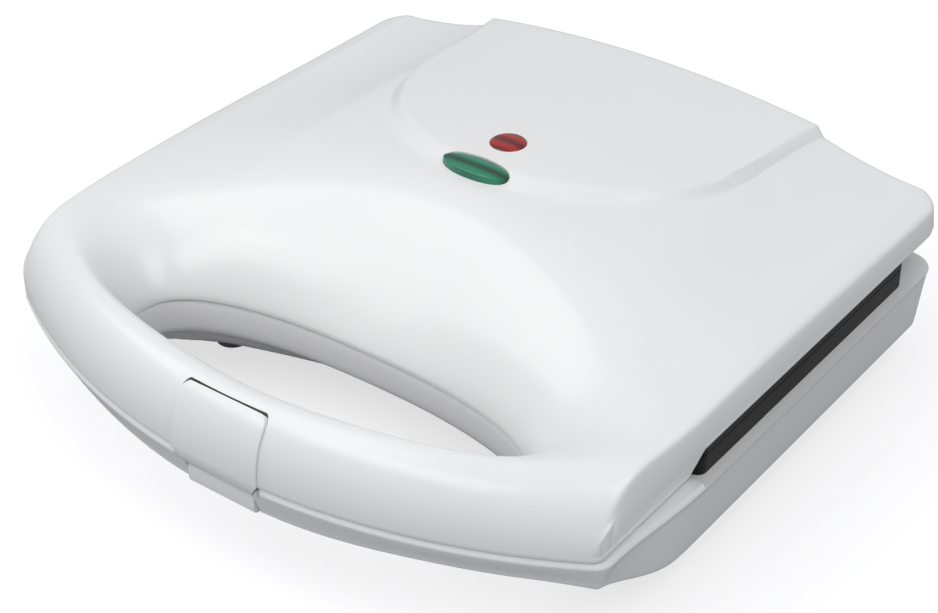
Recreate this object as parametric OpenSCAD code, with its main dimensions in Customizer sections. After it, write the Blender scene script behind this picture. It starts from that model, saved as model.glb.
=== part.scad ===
// Countertop sandwich toaster with a hinged lid.
// X runs to the right seen from the handle, -Y is the handle side, Z is up.
// The origin is on the table, under the middle of the housing.

/* [Overall] */
// Width over the rim of the base
body_w = 224.6; // [212:0.2:240]
// Depth from the front of the handle to the rear wall of the lid
body_d = 219; // [208:1:234]
// Height of the base's underside above the table, which is the height of the feet
foot_h = 11; // [8:0.5:14]
// Height of the ledge on the base that carries the lower plate
rim_z = 34; // [32:0.5:36]
// Height of the top of the lower handle, where the two handle halves meet
parting_z = 36; // [36:0.2:38]
// Gap between the two handle halves
parting_gap = 0.6; // [0.4:0.1:1]
// Height of the lid's lower edge beside and behind the plates
lid_edge_z = 46.4; // [45:0.2:49]
// Depth from the front of the handle to the step between the closed front and the open sides
front_d = 75.3; // [74:0.1:78]

/* [Lid top] */
// Height of the lid's crown just behind the handle window, without the raised panel
crown_z = 73.5; // [68:0.5:80]
// Height of the crown at the rear wall, without the raised panel
crown_rear_z = 69.5; // [64:0.5:76]
// Height of the lid's side edge and of the handle ridge
ridge_z = 58; // [56:0.5:62]
// Height of the lid's side edge at the rear wall
side_rear_z = 55.6; // [54:0.2:60]
// Height that the raised panel stands above the crown
panel_rise = 2.8; // [1.5:0.1:4]
// Width of the raised panel's edge at its sides
panel_edge = 2.6; // [2:0.1:4]
// Width of the raised panel's soft edge at its nose
panel_nose_edge = 8; // [4:0.5:12]
// Depth of the hollows between the raised panel and the lid's sides
valley_depth = 1.8; // [0:0.1:2.4]
// Radius of the raised panel's round nose
panel_r = 64; // [54:1:70]
// Half width of the raised panel at the rear wall
panel_rear_half = 67; // [64:1:76]
// Thickness of the lid's wall
lid_wall = 2.4; // [2:0.1:3]

/* [Handle and window] */
// Radius of the curved front of the handle
front_r = 207; // [200:1:240]
// Radius of the handle's front corners
front_corner_r = 6; // [4:0.5:10]
// Radius of the rear corners
rear_corner_r = 10; // [7:0.5:14]
// Half width of the window behind the handle
window_half = 70; // [62:1:74]
// Half depth of the window behind the handle
window_depth_half = 23.3; // [19:0.1:24]
// Depth of the handle bar at its middle
bar_d = 20.5; // [18:0.5:26]
// Height of the underside of the lower handle
bar_under_z = 24; // [22:0.5:25]
// Height of the base's underside along the rear of the window
window_under_z = 22.5; // [20:0.5:24]
// Width of the slope from there down to the flat underside
window_slope_w = 18; // [14:0.5:20]
// How much lower the base's edge round the window lies than the top of the lower handle
window_slit = 0.6; // [0:0.1:1]

/* [Plates] */
// Distance from the rear wall of the lid to the plates' rear edge
plate_rear_inset = 20.2; // [16:0.2:26]
// Height of the plane where the two plates meet
seam_z = 40.55; // [40.3:0.05:41]
// Gap between the closed plates
seam_gap = 0.3; // [0.2:0.05:0.5]
// Thickness of the cast plates
plate_t = 3; // [2.5:0.1:3.5]
// Depth of the sandwich pockets
pocket_depth = 9; // [7:0.5:9]
// Width of the sealing ridges between the pockets
ridge_w = 6; // [4:0.5:8]

/* [Heating] */
// Radius of the heating tube
tube_r = 3.2; // [2.8:0.1:3.3]
// Distance from the plates' sides to the heating loop's axis
loop_inset_x = 38.4; // [37:0.2:46]
// Distance from the plates' front and rear edges to the heating loop's axis
loop_inset_y = 27.5; // [26:0.5:34]

/* [Hinge] */
// Radius of the hinge pins
pin_r = 2; // [1.5:0.1:2.4]
// Radius of the hinge barrels
barrel_r = 4.4; // [4:0.1:4.6]
// Distance of the hinge axis in front of the rear wall
hinge_inset = 4.5; // [4.4:0.1:5]
// Distance from the base's sides to the middle of each hinge
hinge_inset_x = 34.3; // [27:0.1:50]
// Width of the base's hinge knuckle
knuckle_w = 14; // [10:0.5:18]
// Width of each hinge ear on the lid
ear_w = 5; // [4:0.5:6]
// Running clearance of the pins in their bores
pin_clear = 0.05; // [0.03:0.01:0.08]

/* [Latch] */
// Width of the latch
latch_w = 31; // [26:0.5:36]
// Width of the latch where it grips the lower handle
latch_low_w = 24.6; // [20:0.2:28]
// Thickness of the latch
latch_t = 2.4; // [2:0.1:3]
// Height of the latch pivot
latch_pivot_z = 51.2; // [50.8:0.1:51.6]
// Gap between the latch and the recess it sits in
latch_gap = 0.3; // [0.25:0.05:0.5]
// How far the latch's face stands proud of the handle
latch_proud = 0.3; // [0.2:0.05:0.5]
// Radius of the latch pin
latch_pin_r = 1.5; // [1.2:0.1:1.7]

/* [Indicators] */
// Length of the green lens
green_l = 24; // [18:0.5:28]
// Width of the green lens
green_w = 9; // [7:0.5:11]
// Distance from the rear wall of the lid to the middle of the green lens
green_inset = 98; // [96:0.1:101]
// Diameter of the red lens
red_d = 11.4; // [9:0.2:13]
// Distance from the rear wall of the lid to the middle of the red lens
red_inset = 81.3; // [76:0.1:84]
// Height that the lenses stand proud of the lid
lens_proud = 0.8; // [0.4:0.1:1.4]

/* [Feet and cord inlet] */
// Radius of the feet
foot_r = 6; // [5:0.5:8]
// Distance from the base's sides to the middle of each foot
foot_inset_x = 38.3; // [32:0.1:48]
// Distance from the step to the middle of the front feet
foot_inset_front = 10.5; // [8:0.5:16]
// Distance from the rear wall of the lid to the middle of the rear feet
foot_inset_rear = 25.7; // [20:0.1:36]
// Radius of the hole that the power cord enters by
cord_hole_r = 3.6; // [3:0.1:4]

/* [Hidden] */

front_y = -body_d / 2 + 0.2;
rear_y = front_y + body_d;
arc_y = front_y + front_r;
window_y = front_y + bar_d + window_depth_half;
lid_bottom_z = parting_z + parting_gap;
lip_z = lid_bottom_z + 1;
lid_half = body_w / 2 - 1.3;
base_rear_y = rear_y - 2;
base_half = body_w / 2;
base_wall = 2.6;
hinge_y = rear_y - hinge_inset;
hinge_z = seam_z;
step_y = front_y + front_d;
plate_half = body_w / 2 - 3.9;
plate_front_y = step_y + 3.7;
plate_rear_y = rear_y - plate_rear_inset;
plate_mid_y = (plate_front_y + plate_rear_y) / 2;
loop_half_x = plate_half - loop_inset_x;
loop_half_y = (plate_rear_y - plate_front_y) / 2 - loop_inset_y;
hinge_x = body_w / 2 - hinge_inset_x;
foot_x = body_w / 2 - foot_inset_x;
foot_front_y = step_y + foot_inset_front;
foot_rear_y = rear_y - foot_inset_rear;
green_y = rear_y - green_inset;
red_y = rear_y - red_inset;
window_power = 2.4;
front_roll = 12;
corner_roll = 18;
window_roll_front = 9;
window_roll_rear = 45;
small = 0.01;

white = "white";
ivory = "whitesmoke";
black = "#1c1c1e";
steel = "silver";

// ---- curves and surfaces ----

function clamp01(v) = max(0, min(1, v));
function smooth(v) = let (c = clamp01(v)) c * c * (3 - 2 * c);
function mix(a, b, t) = a + (b - a) * t;
function signed_power(v, p) = sign(v) * pow(abs(v), p);

// Point counts of half an outline: front arc, front corner, side, rear corner, rear line
ARC_N = 12;
CORNER_N = 4;
SIDE_N = 14;
REAR_CORNER_N = 4;
REAR_OUT_N = 3;
REAR_IN_N = 13;
HALF_N = ARC_N + CORNER_N + SIDE_N + REAR_CORNER_N + REAR_OUT_N;

// Y of the side line's points, with three of them on the step between closed front and open side
step_lean = 1.5;
function side_point_y(fy, ry, i) =
    i < 6 ? mix(fy, step_y - step_lean, i / 6)
    : i < 9 ? step_y + (i - 7) * step_lean
    : mix(step_y + step_lean, ry, (i - 8) / (SIDE_N - 8));

// X of the rear line's points behind the raised panel
function rear_x(i) = i == 0 ? panel_rear_half : mix(panel_rear_half - panel_edge, 0, (i - 1) / (REAR_IN_N - 1));

// Right half of a housing outline, from the middle of the front to the middle of the rear.
// half is the half width at the sides, front_half at the front corners, rear the rear wall's Y
// and d an inset all round.
function half_outline(half, front_half, rear, d) =
    let (
        r = front_r - d,
        fr = max(front_corner_r - d, 0.5),
        rr = max(rear_corner_r - d, 0.5),
        fx = front_half - d - fr,
        fy = arc_y - sqrt((r - fr) * (r - fr) - fx * fx),
        turn = atan2(fy - arc_y, fx),
        rx = half - d - rr,
        ry = rear - d - rr
    )
    concat(
        [for (i = [0 : ARC_N - 1]) let (a = mix(-90, turn, i / ARC_N)) [r * cos(a), arc_y + r * sin(a)]],
        [for (i = [0 : CORNER_N - 1]) let (a = mix(turn, 0, i / CORNER_N)) [fx + fr * cos(a), fy + fr * sin(a)]],
        [for (i = [0 : SIDE_N - 1]) let (y = side_point_y(fy, ry, i))
            [mix(front_half, half, smooth((y - fy) / (step_y - fy))) - d, y]],
        [for (i = [0 : REAR_CORNER_N - 1]) let (a = 90 * i / REAR_CORNER_N) [rx + rr * cos(a), ry + rr * sin(a)]],
        [for (i = [0 : REAR_OUT_N - 1]) [mix(rx, panel_rear_half, i / REAR_OUT_N), rear - d]],
        [for (i = [0 : REAR_IN_N]) [rear_x(i), rear - d]]
    );

// Right half of the window outline, point for point beside half_outline
function half_window(d) =
    let (a = concat(
        [for (i = [0 : ARC_N + CORNER_N - 1]) mix(-90, -14, i / (ARC_N + CORNER_N))],
        [for (i = [0 : SIDE_N - 1]) mix(-14, 36, i / SIDE_N)],
        [for (i = [0 : REAR_CORNER_N - 1]) mix(36, 44, i / REAR_CORNER_N)],
        [for (i = [0 : REAR_OUT_N + REAR_IN_N]) mix(44, 90, i / (REAR_OUT_N + REAR_IN_N))]
    ))
    [for (t = a) [
        (window_half + d) * signed_power(cos(t), 2 / window_power),
        window_y + (window_depth_half + d) * signed_power(sin(t), 2 / window_power)
    ]];

// Whole closed outline from its right half
function whole(half) = concat(
    half,
    [for (i = [len(half) - 2 : -1 : 1]) [-half[i][0], half[i][1]]]
);

function lid_outline(d) = whole(half_outline(lid_half, lid_half - 2.4, rear_y, d));
function lid_foot_outline(d) = whole(half_outline(lid_half - 3.3, lid_half - 3.3, rear_y - 1, d));
function base_outline(d) = whole(half_outline(base_half, base_half - 3, base_rear_y, d));
function window_outline(d) = whole(half_window(d));

// Height of the lid's side edge
function side_z(y) = mix(ridge_z, side_rear_z, smooth((y + 20) / 130));

// Crown of the lid before it rolls down to its front edge and its window
function crown(x, y) =
    let (
        mid = mix(crown_z, crown_rear_z, smooth((y - 10) / 110)),
        lift = (mid - side_z(y)) * smooth((y + 68) / 76)
    )
    side_z(y) + lift * (1 - pow(min(1, abs(x) / lid_half), 2));

// How far a point is from the handle window, and how far round the window it lies
function window_distance(x, y) =
    let (
        u = x / window_half,
        v = (y - window_y) / window_depth_half,
        q = pow(pow(abs(u), window_power) + pow(abs(v), window_power), 1 / window_power)
    )
    norm([x, y - window_y]) * (1 - 1 / max(q, 1));
function window_side(x, y) =
    let (r = norm([x / window_half, (y - window_y) / window_depth_half]))
    smooth(0.5 + 0.5 * (y - window_y) / window_depth_half / max(r, small));

// Quarter ellipse and a softer roll, both from 0 at the edge to 1
function roll(s, power) = pow(max(0, 1 - pow(1 - clamp01(s), 2)), power);

// Half width of the raised panel, how far inside it a point lies, and the width of its edge there
function panel_half(y) = mix(panel_r, panel_rear_half, pow(clamp01((y - panel_y) / (rear_y - panel_y)), 2));
function panel_inset(x, y) = y < panel_y ? panel_r - norm([x, y - panel_y]) : panel_half(y) - abs(x);
function panel_band(y) = mix(panel_edge, panel_nose_edge, smooth((panel_y - y) / panel_r));

// Depth of the hollow beside the raised panel, growing towards the rear
function valley(x, y) =
    valley_depth * smooth((y + 50) / 130) * max(0, 1 - pow((abs(x) - 84) / 19, 2));

// Height of the lid's top surface without the raised panel
function lid_base_top(x, y) =
    let (
        from_front = front_r - norm([x, y - arc_y]),
        front_width = mix(front_roll, corner_roll, pow(abs(x) / lid_half, 2)),
        side = window_side(x, y),
        window_width = mix(window_roll_front, window_roll_rear, side)
    )
    lip_z + (crown(x, y) - valley(x, y) - lip_z) * roll(from_front / front_width, 0.5)
        * roll(window_distance(x, y) / window_width, mix(0.5, 0.8, side));

// Height of the lid's top surface
function lid_top(x, y) = lid_base_top(x, y) + panel_rise * smooth(panel_inset(x, y) / panel_band(y));

// Height of the base's underside, which sweeps up towards the handle and round the window
function under_z(x, y) = max(
    mix(foot_h, bar_under_z, smooth((step_y + 4 - y) / 58)),
    mix(window_under_z, foot_h, smooth((window_distance(x, y) - 3) / window_slope_w))
);
function on_under(outline, rise) = [for (p = outline) [p[0], p[1], under_z(p[0], p[1]) + rise]];

// ---- solids from closed rings of points ----

// Rings run round the window; the last ring joins the first
module ring_loft(rings) {
    n = len(rings[0]);
    m = len(rings);
    points = [for (ring = rings) each ring];
    faces = [for (j = [0 : m - 1]) for (i = [0 : n - 1])
        let (a = j * n + i, b = j * n + (i + 1) % n, c = ((j + 1) % m) * n + (i + 1) % n, d = ((j + 1) % m) * n + i)
        each [[a, c, b], [a, d, c]]];
    polyhedron(points, faces, convexity = 8);
}

// Rings stacked from a bottom cap to a top cap, each cap a fan to its middle point
module capped_loft(rings, low, high) {
    n = len(rings[0]);
    m = len(rings);
    points = concat([for (ring = rings) each ring], [low, high]);
    sides = [for (j = [0 : m - 2]) for (i = [0 : n - 1])
        let (a = j * n + i, b = j * n + (i + 1) % n, c = (j + 1) * n + (i + 1) % n, d = (j + 1) * n + i)
        each [[a, c, b], [a, d, c]]];
    caps = [for (i = [0 : n - 1]) each [
        [m * n, i, (i + 1) % n],
        [m * n + 1, (m - 1) * n + (i + 1) % n, (m - 1) * n + i]
    ]];
    polyhedron(points, concat(sides, caps), convexity = 6);
}

function turned(list) = [for (i = [len(list) - 1 : -1 : 0]) list[i]];
function at_z(outline, z) = [for (p = outline) [p[0], p[1], z]];
function on_lid(outline, drop) = [for (p = outline) [p[0], p[1], lid_top(p[0], p[1]) - drop]];
function between(a, b, t) = [for (i = [0 : len(a) - 1]) mix(a[i], b[i], t)];

// Rounded rectangle made of true arcs
module round_rect(x0, y0, x1, y1, r) {
    translate([x0 + r, y0]) square([x1 - x0 - 2 * r, y1 - y0]);
    translate([x0, y0 + r]) square([x1 - x0, y1 - y0 - 2 * r]);
    for (x = [x0 + r, x1 - r]) for (y = [y0 + r, y1 - r]) translate([x, y]) circle(r, $fn = 32);
}

module bar_x(x0, x1, y, z, r) {
    translate([x0, y, z]) rotate([0, 90, 0]) cylinder(h = x1 - x0, r = r, $fn = 32);
}

// ---- housings ----

// Point of the raised panel's edge beside the rear line's point j, moved in by part of the edge's width.
// Point 0 runs back along the panel's side instead.
panel_y = rear_y - 39.2;
panel_turn = 10;
function panel_edge_x(y) = y < panel_y ? sqrt(panel_r * panel_r - pow(y - panel_y, 2)) : panel_half(y);
function panel_point(j, part) =
    let (
        a = mix(panel_turn, 90, j / REAR_IN_N),
        r = panel_r - part * panel_band(panel_y - panel_r * sin(a))
    ) [r * cos(a), panel_y - r * sin(a)];
function panel_side_point(share) =
    let (y = mix(panel_y - panel_r * sin(panel_turn), rear_y - 4, share)) [panel_edge_x(y), y];

// Shares of the way from the window to the outline, for lines beside the panel and up to the panel
BESIDE = [0.015, 0.05, 0.1, 0.17, 0.26, 0.37, 0.5, 0.63, 0.76, 0.84, 0.89, 0.93, 0.96, 0.98, 1];
UP_TO = [0.02, 0.06, 0.12, 0.2, 0.31, 0.45, 0.6, 0.75, 0.88];

// Ring k of the lid's top, point for point between the window and the outline
function top_ring(k) =
    let (window = half_window(0), edge = half_outline(lid_half, lid_half - 2.4, rear_y, 4))
    whole([for (i = [0 : HALF_N + REAR_IN_N])
        let (
            j = i - HALF_N,
            start = panel_point(j, max(0, min(k - 9, 2)) / 2)
        )
        j < 0 ? mix(window[i], edge[i], BESIDE[k])
        : k < 9 ? mix(window[i], start, UP_TO[k])
        : j == 0 ? panel_side_point((k - 9) / 5)
        : k < 12 ? start
        : mix(start, edge[i], (k - 11) / 3)
    ]);

// 0 on the front arc, 1 on the sides and the rear
function half_sideness() = [for (i = [0 : HALF_N + REAR_IN_N]) clamp01((i - ARC_N) / CORNER_N)];
function whole_sideness() = let (h = half_sideness())
    concat(h, [for (i = [len(h) - 2 : -1 : 1]) h[i]]);

// Height of the lid's lower edge: low round the handle, high beside and behind the plates
function edge_z(y) = mix(lid_bottom_z, lid_edge_z, pow(smooth((y - step_y + step_lean) / (2 * step_lean)), 0.6));

// Plan of the roof's ring m of 6, from the wall in to the room's front, and of the underside's last ring
cavity_front_y = step_y - step_lean + 0.5;
function roof_ring(m) =
    let (
        window = half_window(0),
        wide = half_outline(lid_half, lid_half - 2.4, rear_y, 4),
        narrow = half_outline(lid_half - 3.3, lid_half - 3.3, rear_y - 1, 4.4)
    )
    whole([for (i = [0 : HALF_N + REAR_IN_N])
        let (
            open = wide[i][1] > cavity_front_y,
            edge = open ? wide : narrow,
            t = open ? (cavity_front_y - window[i][1]) / (edge[i][1] - window[i][1]) : 0.5
        )
        mix(edge[i], mix(window[i], edge[i], open || m < 7 ? t : 0.8 * t), min(m, 6) / 6)
    ]);

// The lid's shell: window wall, top surface, side wall, stepped lower edge and the room under its roof
flank_z = 48;
module lid_solid() {
    k = whole_sideness();
    window = window_outline(0);
    edge2 = lid_outline(2.4);
    edge1 = lid_outline(1.5);
    low_front = lid_outline(1.25);
    low_side = lid_outline(0);
    foot = lid_foot_outline(0);
    wall_wide = lid_outline(2.2);
    wall_foot = lid_foot_outline(2.2);
    n = len(k) - 1;
    // height of the lower edge, and the wall's foot on the line from the flank down to the lip
    e = [for (i = [0 : n]) mix(lid_bottom_z, edge_z(low_side[i][1]), k[i])];
    is_room = [for (i = [0 : n]) low_side[i][1] > cavity_front_y && k[i] == 1];
    rise = [for (i = [0 : n]) (e[i] - lid_bottom_z) / (lid_edge_z - lid_bottom_z)];
    down = [for (i = [0 : n]) mix(low_side[i], mix(foot[i], low_side[i], 0.9 * rise[i]), k[i])];
    wall_in = [for (i = [0 : n]) mix(wall_wide[i], mix(wall_foot[i], wall_wide[i], rise[i]), k[i])];
    ring_loft(turned(concat(
        [at_z(window, lid_bottom_z), at_z(window, lip_z)],
        [for (i = [0 : 14]) on_lid(top_ring(i), 0)],
        [[for (i = [0 : n]) [edge2[i][0], edge2[i][1], lid_top(edge2[i][0], edge2[i][1]) - 0.5 * k[i]]]],
        [[for (i = [0 : n]) [edge1[i][0], edge1[i][1], lid_top(edge1[i][0], edge1[i][1]) - 1.8 * k[i]]]],
        [[for (i = [0 : n]) let (p = mix(low_front[i], low_side[i], k[i])) [p[0], p[1], mix(
            lid_top(low_front[i][0], low_front[i][1]),
            min(flank_z, lid_top(edge1[i][0], edge1[i][1]) - 2.4), k[i])]]],
        [[for (i = [0 : n]) [down[i][0], down[i][1], e[i] + mix(1, 0.4, rise[i])]]],
        [[for (i = [0 : n]) let (p = mix(down[i], wall_in[i], 0.12)) [p[0], p[1], e[i]]]],
        [[for (i = [0 : n]) [wall_in[i][0], wall_in[i][1], e[i]]]],
        [for (m = [0 : 6]) let (ring = roof_ring(m)) [for (i = [0 : n])
            [ring[i][0], ring[i][1], is_room[i] ? lid_base_top(ring[i][0], ring[i][1]) - lid_wall - 0.4 : e[i]]]],
        [at_z(roof_ring(7), lid_bottom_z)]
    )));
}

screw_inset = 5;
screw_x = plate_half - screw_inset;
boss_r = 4.2;
plate_top_z = seam_z + seam_gap / 2 + 6.6;

ear_x = [hinge_x - knuckle_w / 2 - 0.4 - ear_w, hinge_x + knuckle_w / 2 + 0.4];
wire_knuckle_w = 18;
wire_bore_r = 2.3;

// One hinge ear of the lid: a barrel round the hinge axis and an arm up to the rear wall
module lid_ear(x0, bore_r) {
    difference() {
        union() {
            bar_x(x0, x0 + ear_w, hinge_y, hinge_z, barrel_r);
            translate([x0, hinge_y - 3, hinge_z]) cube([ear_w, 5.5, side_rear_z - hinge_z - 3]);
        }
        bar_x(x0 - 1, x0 + ear_w + 1, hinge_y, hinge_z, bore_r);
    }
}

module lid_housing() {
    color(white) {
        difference() {
            lid_solid();
            latch_recess_lid();
            lens_holes();
        }
        for (side = [-1, 1]) scale([side, 1, 1]) {
            for (x = ear_x) lid_ear(x, pin_r + pin_clear);
            lid_ear(wire_knuckle_w / 2 + 0.4, wire_bore_r);
        }
        for (side = [-1, 1]) for (y = screw_ys) translate([side * screw_x, y, plate_top_z])
            screw_boss(lid_base_top(screw_x, y) - lid_wall + 0.6 - plate_top_z);
    }
}

// Post that a plate screw goes into
module screw_boss(height) {
    difference() {
        cylinder(h = height, r = boss_r, $fn = 32);
        translate([0, 0, -1]) cylinder(h = 8, r = screw_r + 0.02, $fn = 24);
    }
}

// The base's outline with less inset at the rear wall, which is steeper
function base_low_outline(d) = whole(half_outline(base_half, base_half - 3, base_rear_y + 0.7 * d, d));

// The base's outer form: rim, drafted walls, rounded bottom edge and the lower handle
module base_solid() {
    edge = [for (p = window_outline(1.6)) [p[0], p[1], parting_z - window_slit * window_side(p[0], p[1])]];
    low_in = window_outline(4.5);
    low_out = base_low_outline(8);
    ring_loft(concat(
        [edge],
        [[for (p = window_outline(0.5)) [p[0], p[1], parting_z - 1 - window_slit * window_side(p[0], p[1])]]],
        [on_under(window_outline(0.8), 3.2), on_under(window_outline(2.4), 0.5)],
        [for (t = [0, 0.03, 0.06, 0.09, 0.12, 0.15, 0.35, 0.6, 1]) on_under(between(low_in, low_out, t), 0)],
        [on_under(base_low_outline(5), 0.8), on_under(base_low_outline(3.4), 3.2)],
        [at_z(base_low_outline(0.8), parting_z - 3.2), at_z(base_outline(0), parting_z - 1.6)],
        [at_z(base_outline(0.6), parting_z)]
    ));
}

// One knuckle of the base, standing on its rear rim
module base_knuckle(x0, width, bore_r) {
    difference() {
        union() {
            bar_x(x0, x0 + width, hinge_y, hinge_z, barrel_r);
            translate([x0, hinge_y - 3.2, rim_z - 3]) cube([width, 5.2, hinge_z - rim_z + 3]);
        }
        bar_x(x0 - 1, x0 + width + 1, hinge_y, hinge_z, bore_r);
    }
}

base_floor_t = 2.5;
tub_half = plate_half - 4.4;
tub_front_y = plate_front_y + 5;
tub_rear_y = base_rear_y - 6.6;
ledge_t = 2.5;
module base_housing() {
    color(white) {
        difference() {
            union() {
                difference() {
                    base_solid();
                    // ledge for the lower plate, lower than the handle's top
                    translate([-body_w, step_y, rim_z]) cube([2 * body_w, 2 * body_w, 30]);
                    // room for the heater and wiring, and a shallower one under the front ledge
                    translate([0, 0, foot_h + base_floor_t]) linear_extrude(height = rim_z)
                        round_rect(-tub_half, tub_front_y, tub_half, tub_rear_y, 6);
                    translate([-tub_half + 7, step_y + 0.8, window_under_z + 3])
                        cube([2 * tub_half - 14, 20, rim_z - ledge_t - window_under_z - 3]);
                    latch_recess_base();
                }
                catch_bar();
                for (side = [-1, 1]) translate([side * hinge_x, 0, 0])
                    base_knuckle(-knuckle_w / 2, knuckle_w, pin_r + pin_clear);
                base_knuckle(-wire_knuckle_w / 2, wire_knuckle_w, wire_bore_r);
            }
            // way for the wires up into the middle hinge barrel
            wire(wire_way, wire_r + 0.3);
            // sockets for the feet
            foot_places() translate([0, 0, foot_h - 1]) cylinder(h = base_floor_t + 2, r = foot_peg_r, $fn = 32);
            // cord inlet and its seat
            translate([cord_x, 0, cord_z]) rotate([-90, 0, 0]) {
                translate([0, 0, tub_rear_y - 10]) cylinder(h = 30, r = inlet_r, $fn = 40);
                translate([0, 0, inlet_seat_y]) cylinder(h = 20, r = inlet_r + 1.9, $fn = 40);
            }
            for (side = [-1, 1]) for (y = screw_ys)
                translate([side * screw_x, y, foot_h + base_floor_t]) cylinder(h = rim_z, r = 3, $fn = 32);
        }
        for (side = [-1, 1]) for (y = screw_ys) translate([side * screw_x, y, rim_z]) scale([1, 1, -1])
            screw_boss(rim_z - foot_h - base_floor_t + small);
    }
}

// ---- cooking plates ----

// One triangular sandwich pocket: a bowl with rounded corners and sloping sides
module pocket(corners, depth, slope) {
    hull() for (p = corners) translate([p[0], p[1], 0])
        translate([0, 0, -depth]) cylinder(h = depth + small, r1 = 3, r2 = 3 + slope, $fn = 20);
}

cell_x0 = ridge_w / 2;
cell_x1 = plate_half - screw_inset - boss_r - 0.3;
cell_y0 = plate_front_y + 7;
cell_y1 = plate_rear_y - 8;
pocket_slope = 5;
pocket_inset = 3 + pocket_slope;

module plate_plan() {
    round_rect(-plate_half, plate_front_y, plate_half, plate_rear_y, 3);
}
module plate_plan_inner() {
    round_rect(-plate_half + 2.4, plate_front_y + 2.4, plate_half - 2.4, plate_rear_y - 2.4, 2);
}

// A plate with its face up at z = 0: land, rim skirt, two cells with two triangular pockets each
module plate_body(skirt) {
    x0 = cell_x0 + pocket_inset;
    x1 = cell_x1 - pocket_inset;
    y0 = cell_y0 + pocket_inset;
    y1 = cell_y1 - pocket_inset;
    cut = ridge_w * 0.75 + pocket_inset;
    difference() {
        union() {
            translate([0, 0, -plate_t]) linear_extrude(height = plate_t) plate_plan();
            translate([0, 0, -skirt]) linear_extrude(height = skirt) difference() {
                plate_plan();
                plate_plan_inner();
            }
            for (side = [-1, 1]) translate([0, 0, -pocket_depth - plate_t]) linear_extrude(height = pocket_depth)
                round_rect(min(side * cell_x0, side * cell_x1), cell_y0, max(side * cell_x0, side * cell_x1), cell_y1, 8);
            for (side = [-1, 1]) translate([side * stud_x, plate_mid_y, -pocket_depth - plate_t - stud_h])
                cylinder(h = stud_h + 2, r = stud_r, $fn = 24);
            for (side = [-1, 1]) for (y = screw_ys) translate([side * screw_x, y, -skirt])
                cylinder(h = skirt, r = 3.4, $fn = 24);
        }
        // two triangles in each cell, parted by a diagonal sealing ridge
        for (side = [-1, 1]) scale([side, 1, 1]) {
            pocket([[x0, y0 + cut], [x0, y1], [x1 - cut, y1]], pocket_depth, pocket_slope);
            pocket([[x0 + cut, y0], [x1, y0], [x1, y1 - cut]], pocket_depth, pocket_slope);
        }
        for (side = [-1, 1]) for (y = screw_ys) translate([side * screw_x, y, 0]) {
            translate([0, 0, -skirt - 1]) cylinder(h = skirt + 2, r = screw_r + 0.2, $fn = 24);
            translate([0, 0, -screw_head_t]) cylinder(h = screw_head_t + 1, r = screw_head_r + 0.2, $fn = 24);
        }
    }
}

lower_face_z = seam_z - seam_gap / 2;
upper_face_z = seam_z + seam_gap / 2;
module lower_plate() {
    color(black) translate([0, 0, lower_face_z]) plate_body(lower_face_z - rim_z);
}
module upper_plate() {
    color(black) translate([0, 0, upper_face_z]) scale([1, 1, -1]) plate_body(plate_top_z - upper_face_z);
}

screw_r = 1.4;
screw_head_r = 2.8;
screw_head_t = 1.6;
screw_ys = [plate_front_y + 20, plate_rear_y - 20];

// A flat-headed screw with its head up at z = 0
module plate_screw(length) {
    difference() {
        union() {
            translate([0, 0, -screw_head_t]) cylinder(h = screw_head_t - 0.2, r = screw_head_r, $fn = 24);
            translate([0, 0, -length]) cylinder(h = length - screw_head_t + small, r = screw_r, $fn = 24);
        }
        for (a = [0, 90]) rotate(a) translate([-1.7, -0.35, -1]) cube([3.4, 0.7, 2]);
    }
}
module lower_plate_screws() {
    color(steel) for (side = [-1, 1]) for (y = screw_ys)
        translate([side * screw_x, y, lower_face_z]) plate_screw(12);
}
module upper_plate_screws() {
    color(steel) for (side = [-1, 1]) for (y = screw_ys)
        translate([side * screw_x, y, upper_face_z]) scale([1, 1, -1]) plate_screw(12);
}

// ---- heating ----

// A bent heating tube with its two cold ends at the rear, axis at z = 0
loop_corner_r = 14;
module heating_loop() {
    x1 = loop_half_x;
    y0 = plate_mid_y - loop_half_y;
    y1 = plate_mid_y + loop_half_y;
    r = loop_corner_r;
    for (side = [-1, 1]) {
        translate([side * x1, y0 + r, 0]) rotate([-90, 0, 0]) cylinder(h = y1 - y0 - 2 * r, r = tube_r, $fn = 32);
        translate([side * (x1 - r), y0 + r, 0]) rotate([0, 0, side > 0 ? 270 : 180])
            rotate_extrude(angle = 90, $fn = 48) translate([r, 0]) circle(tube_r, $fn = 24);
        translate([side * (x1 - r), y1 - r, 0]) rotate([0, 0, side > 0 ? 0 : 90])
            rotate_extrude(angle = 90, $fn = 48) translate([r, 0]) circle(tube_r, $fn = 24);
        bar_x(side > 0 ? 16 : -x1 + r, side > 0 ? x1 - r : -16, y1, 0, tube_r);
        bar_x(side > 0 ? 10 : -16, side > 0 ? 16 : -10, y1, 0, 1.2);
    }
    bar_x(-x1 + r, x1 - r, y0, 0, tube_r);
}

element_drop = pocket_depth + plate_t + tube_r + 0.1;
lower_element_z = lower_face_z - element_drop;
upper_element_z = upper_face_z + element_drop;
module lower_heating_element() {
    color("dimgray") translate([0, 0, lower_element_z]) heating_loop();
}
module upper_heating_element() {
    color("dimgray") translate([0, 0, upper_element_z]) heating_loop();
}

stud_x = 24;
stud_r = 2.4;
stud_h = 8.7;
clamp_t = 1.2;
clamp_w = 12;
clamp_drop = element_drop + tube_r + 0.1;
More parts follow.
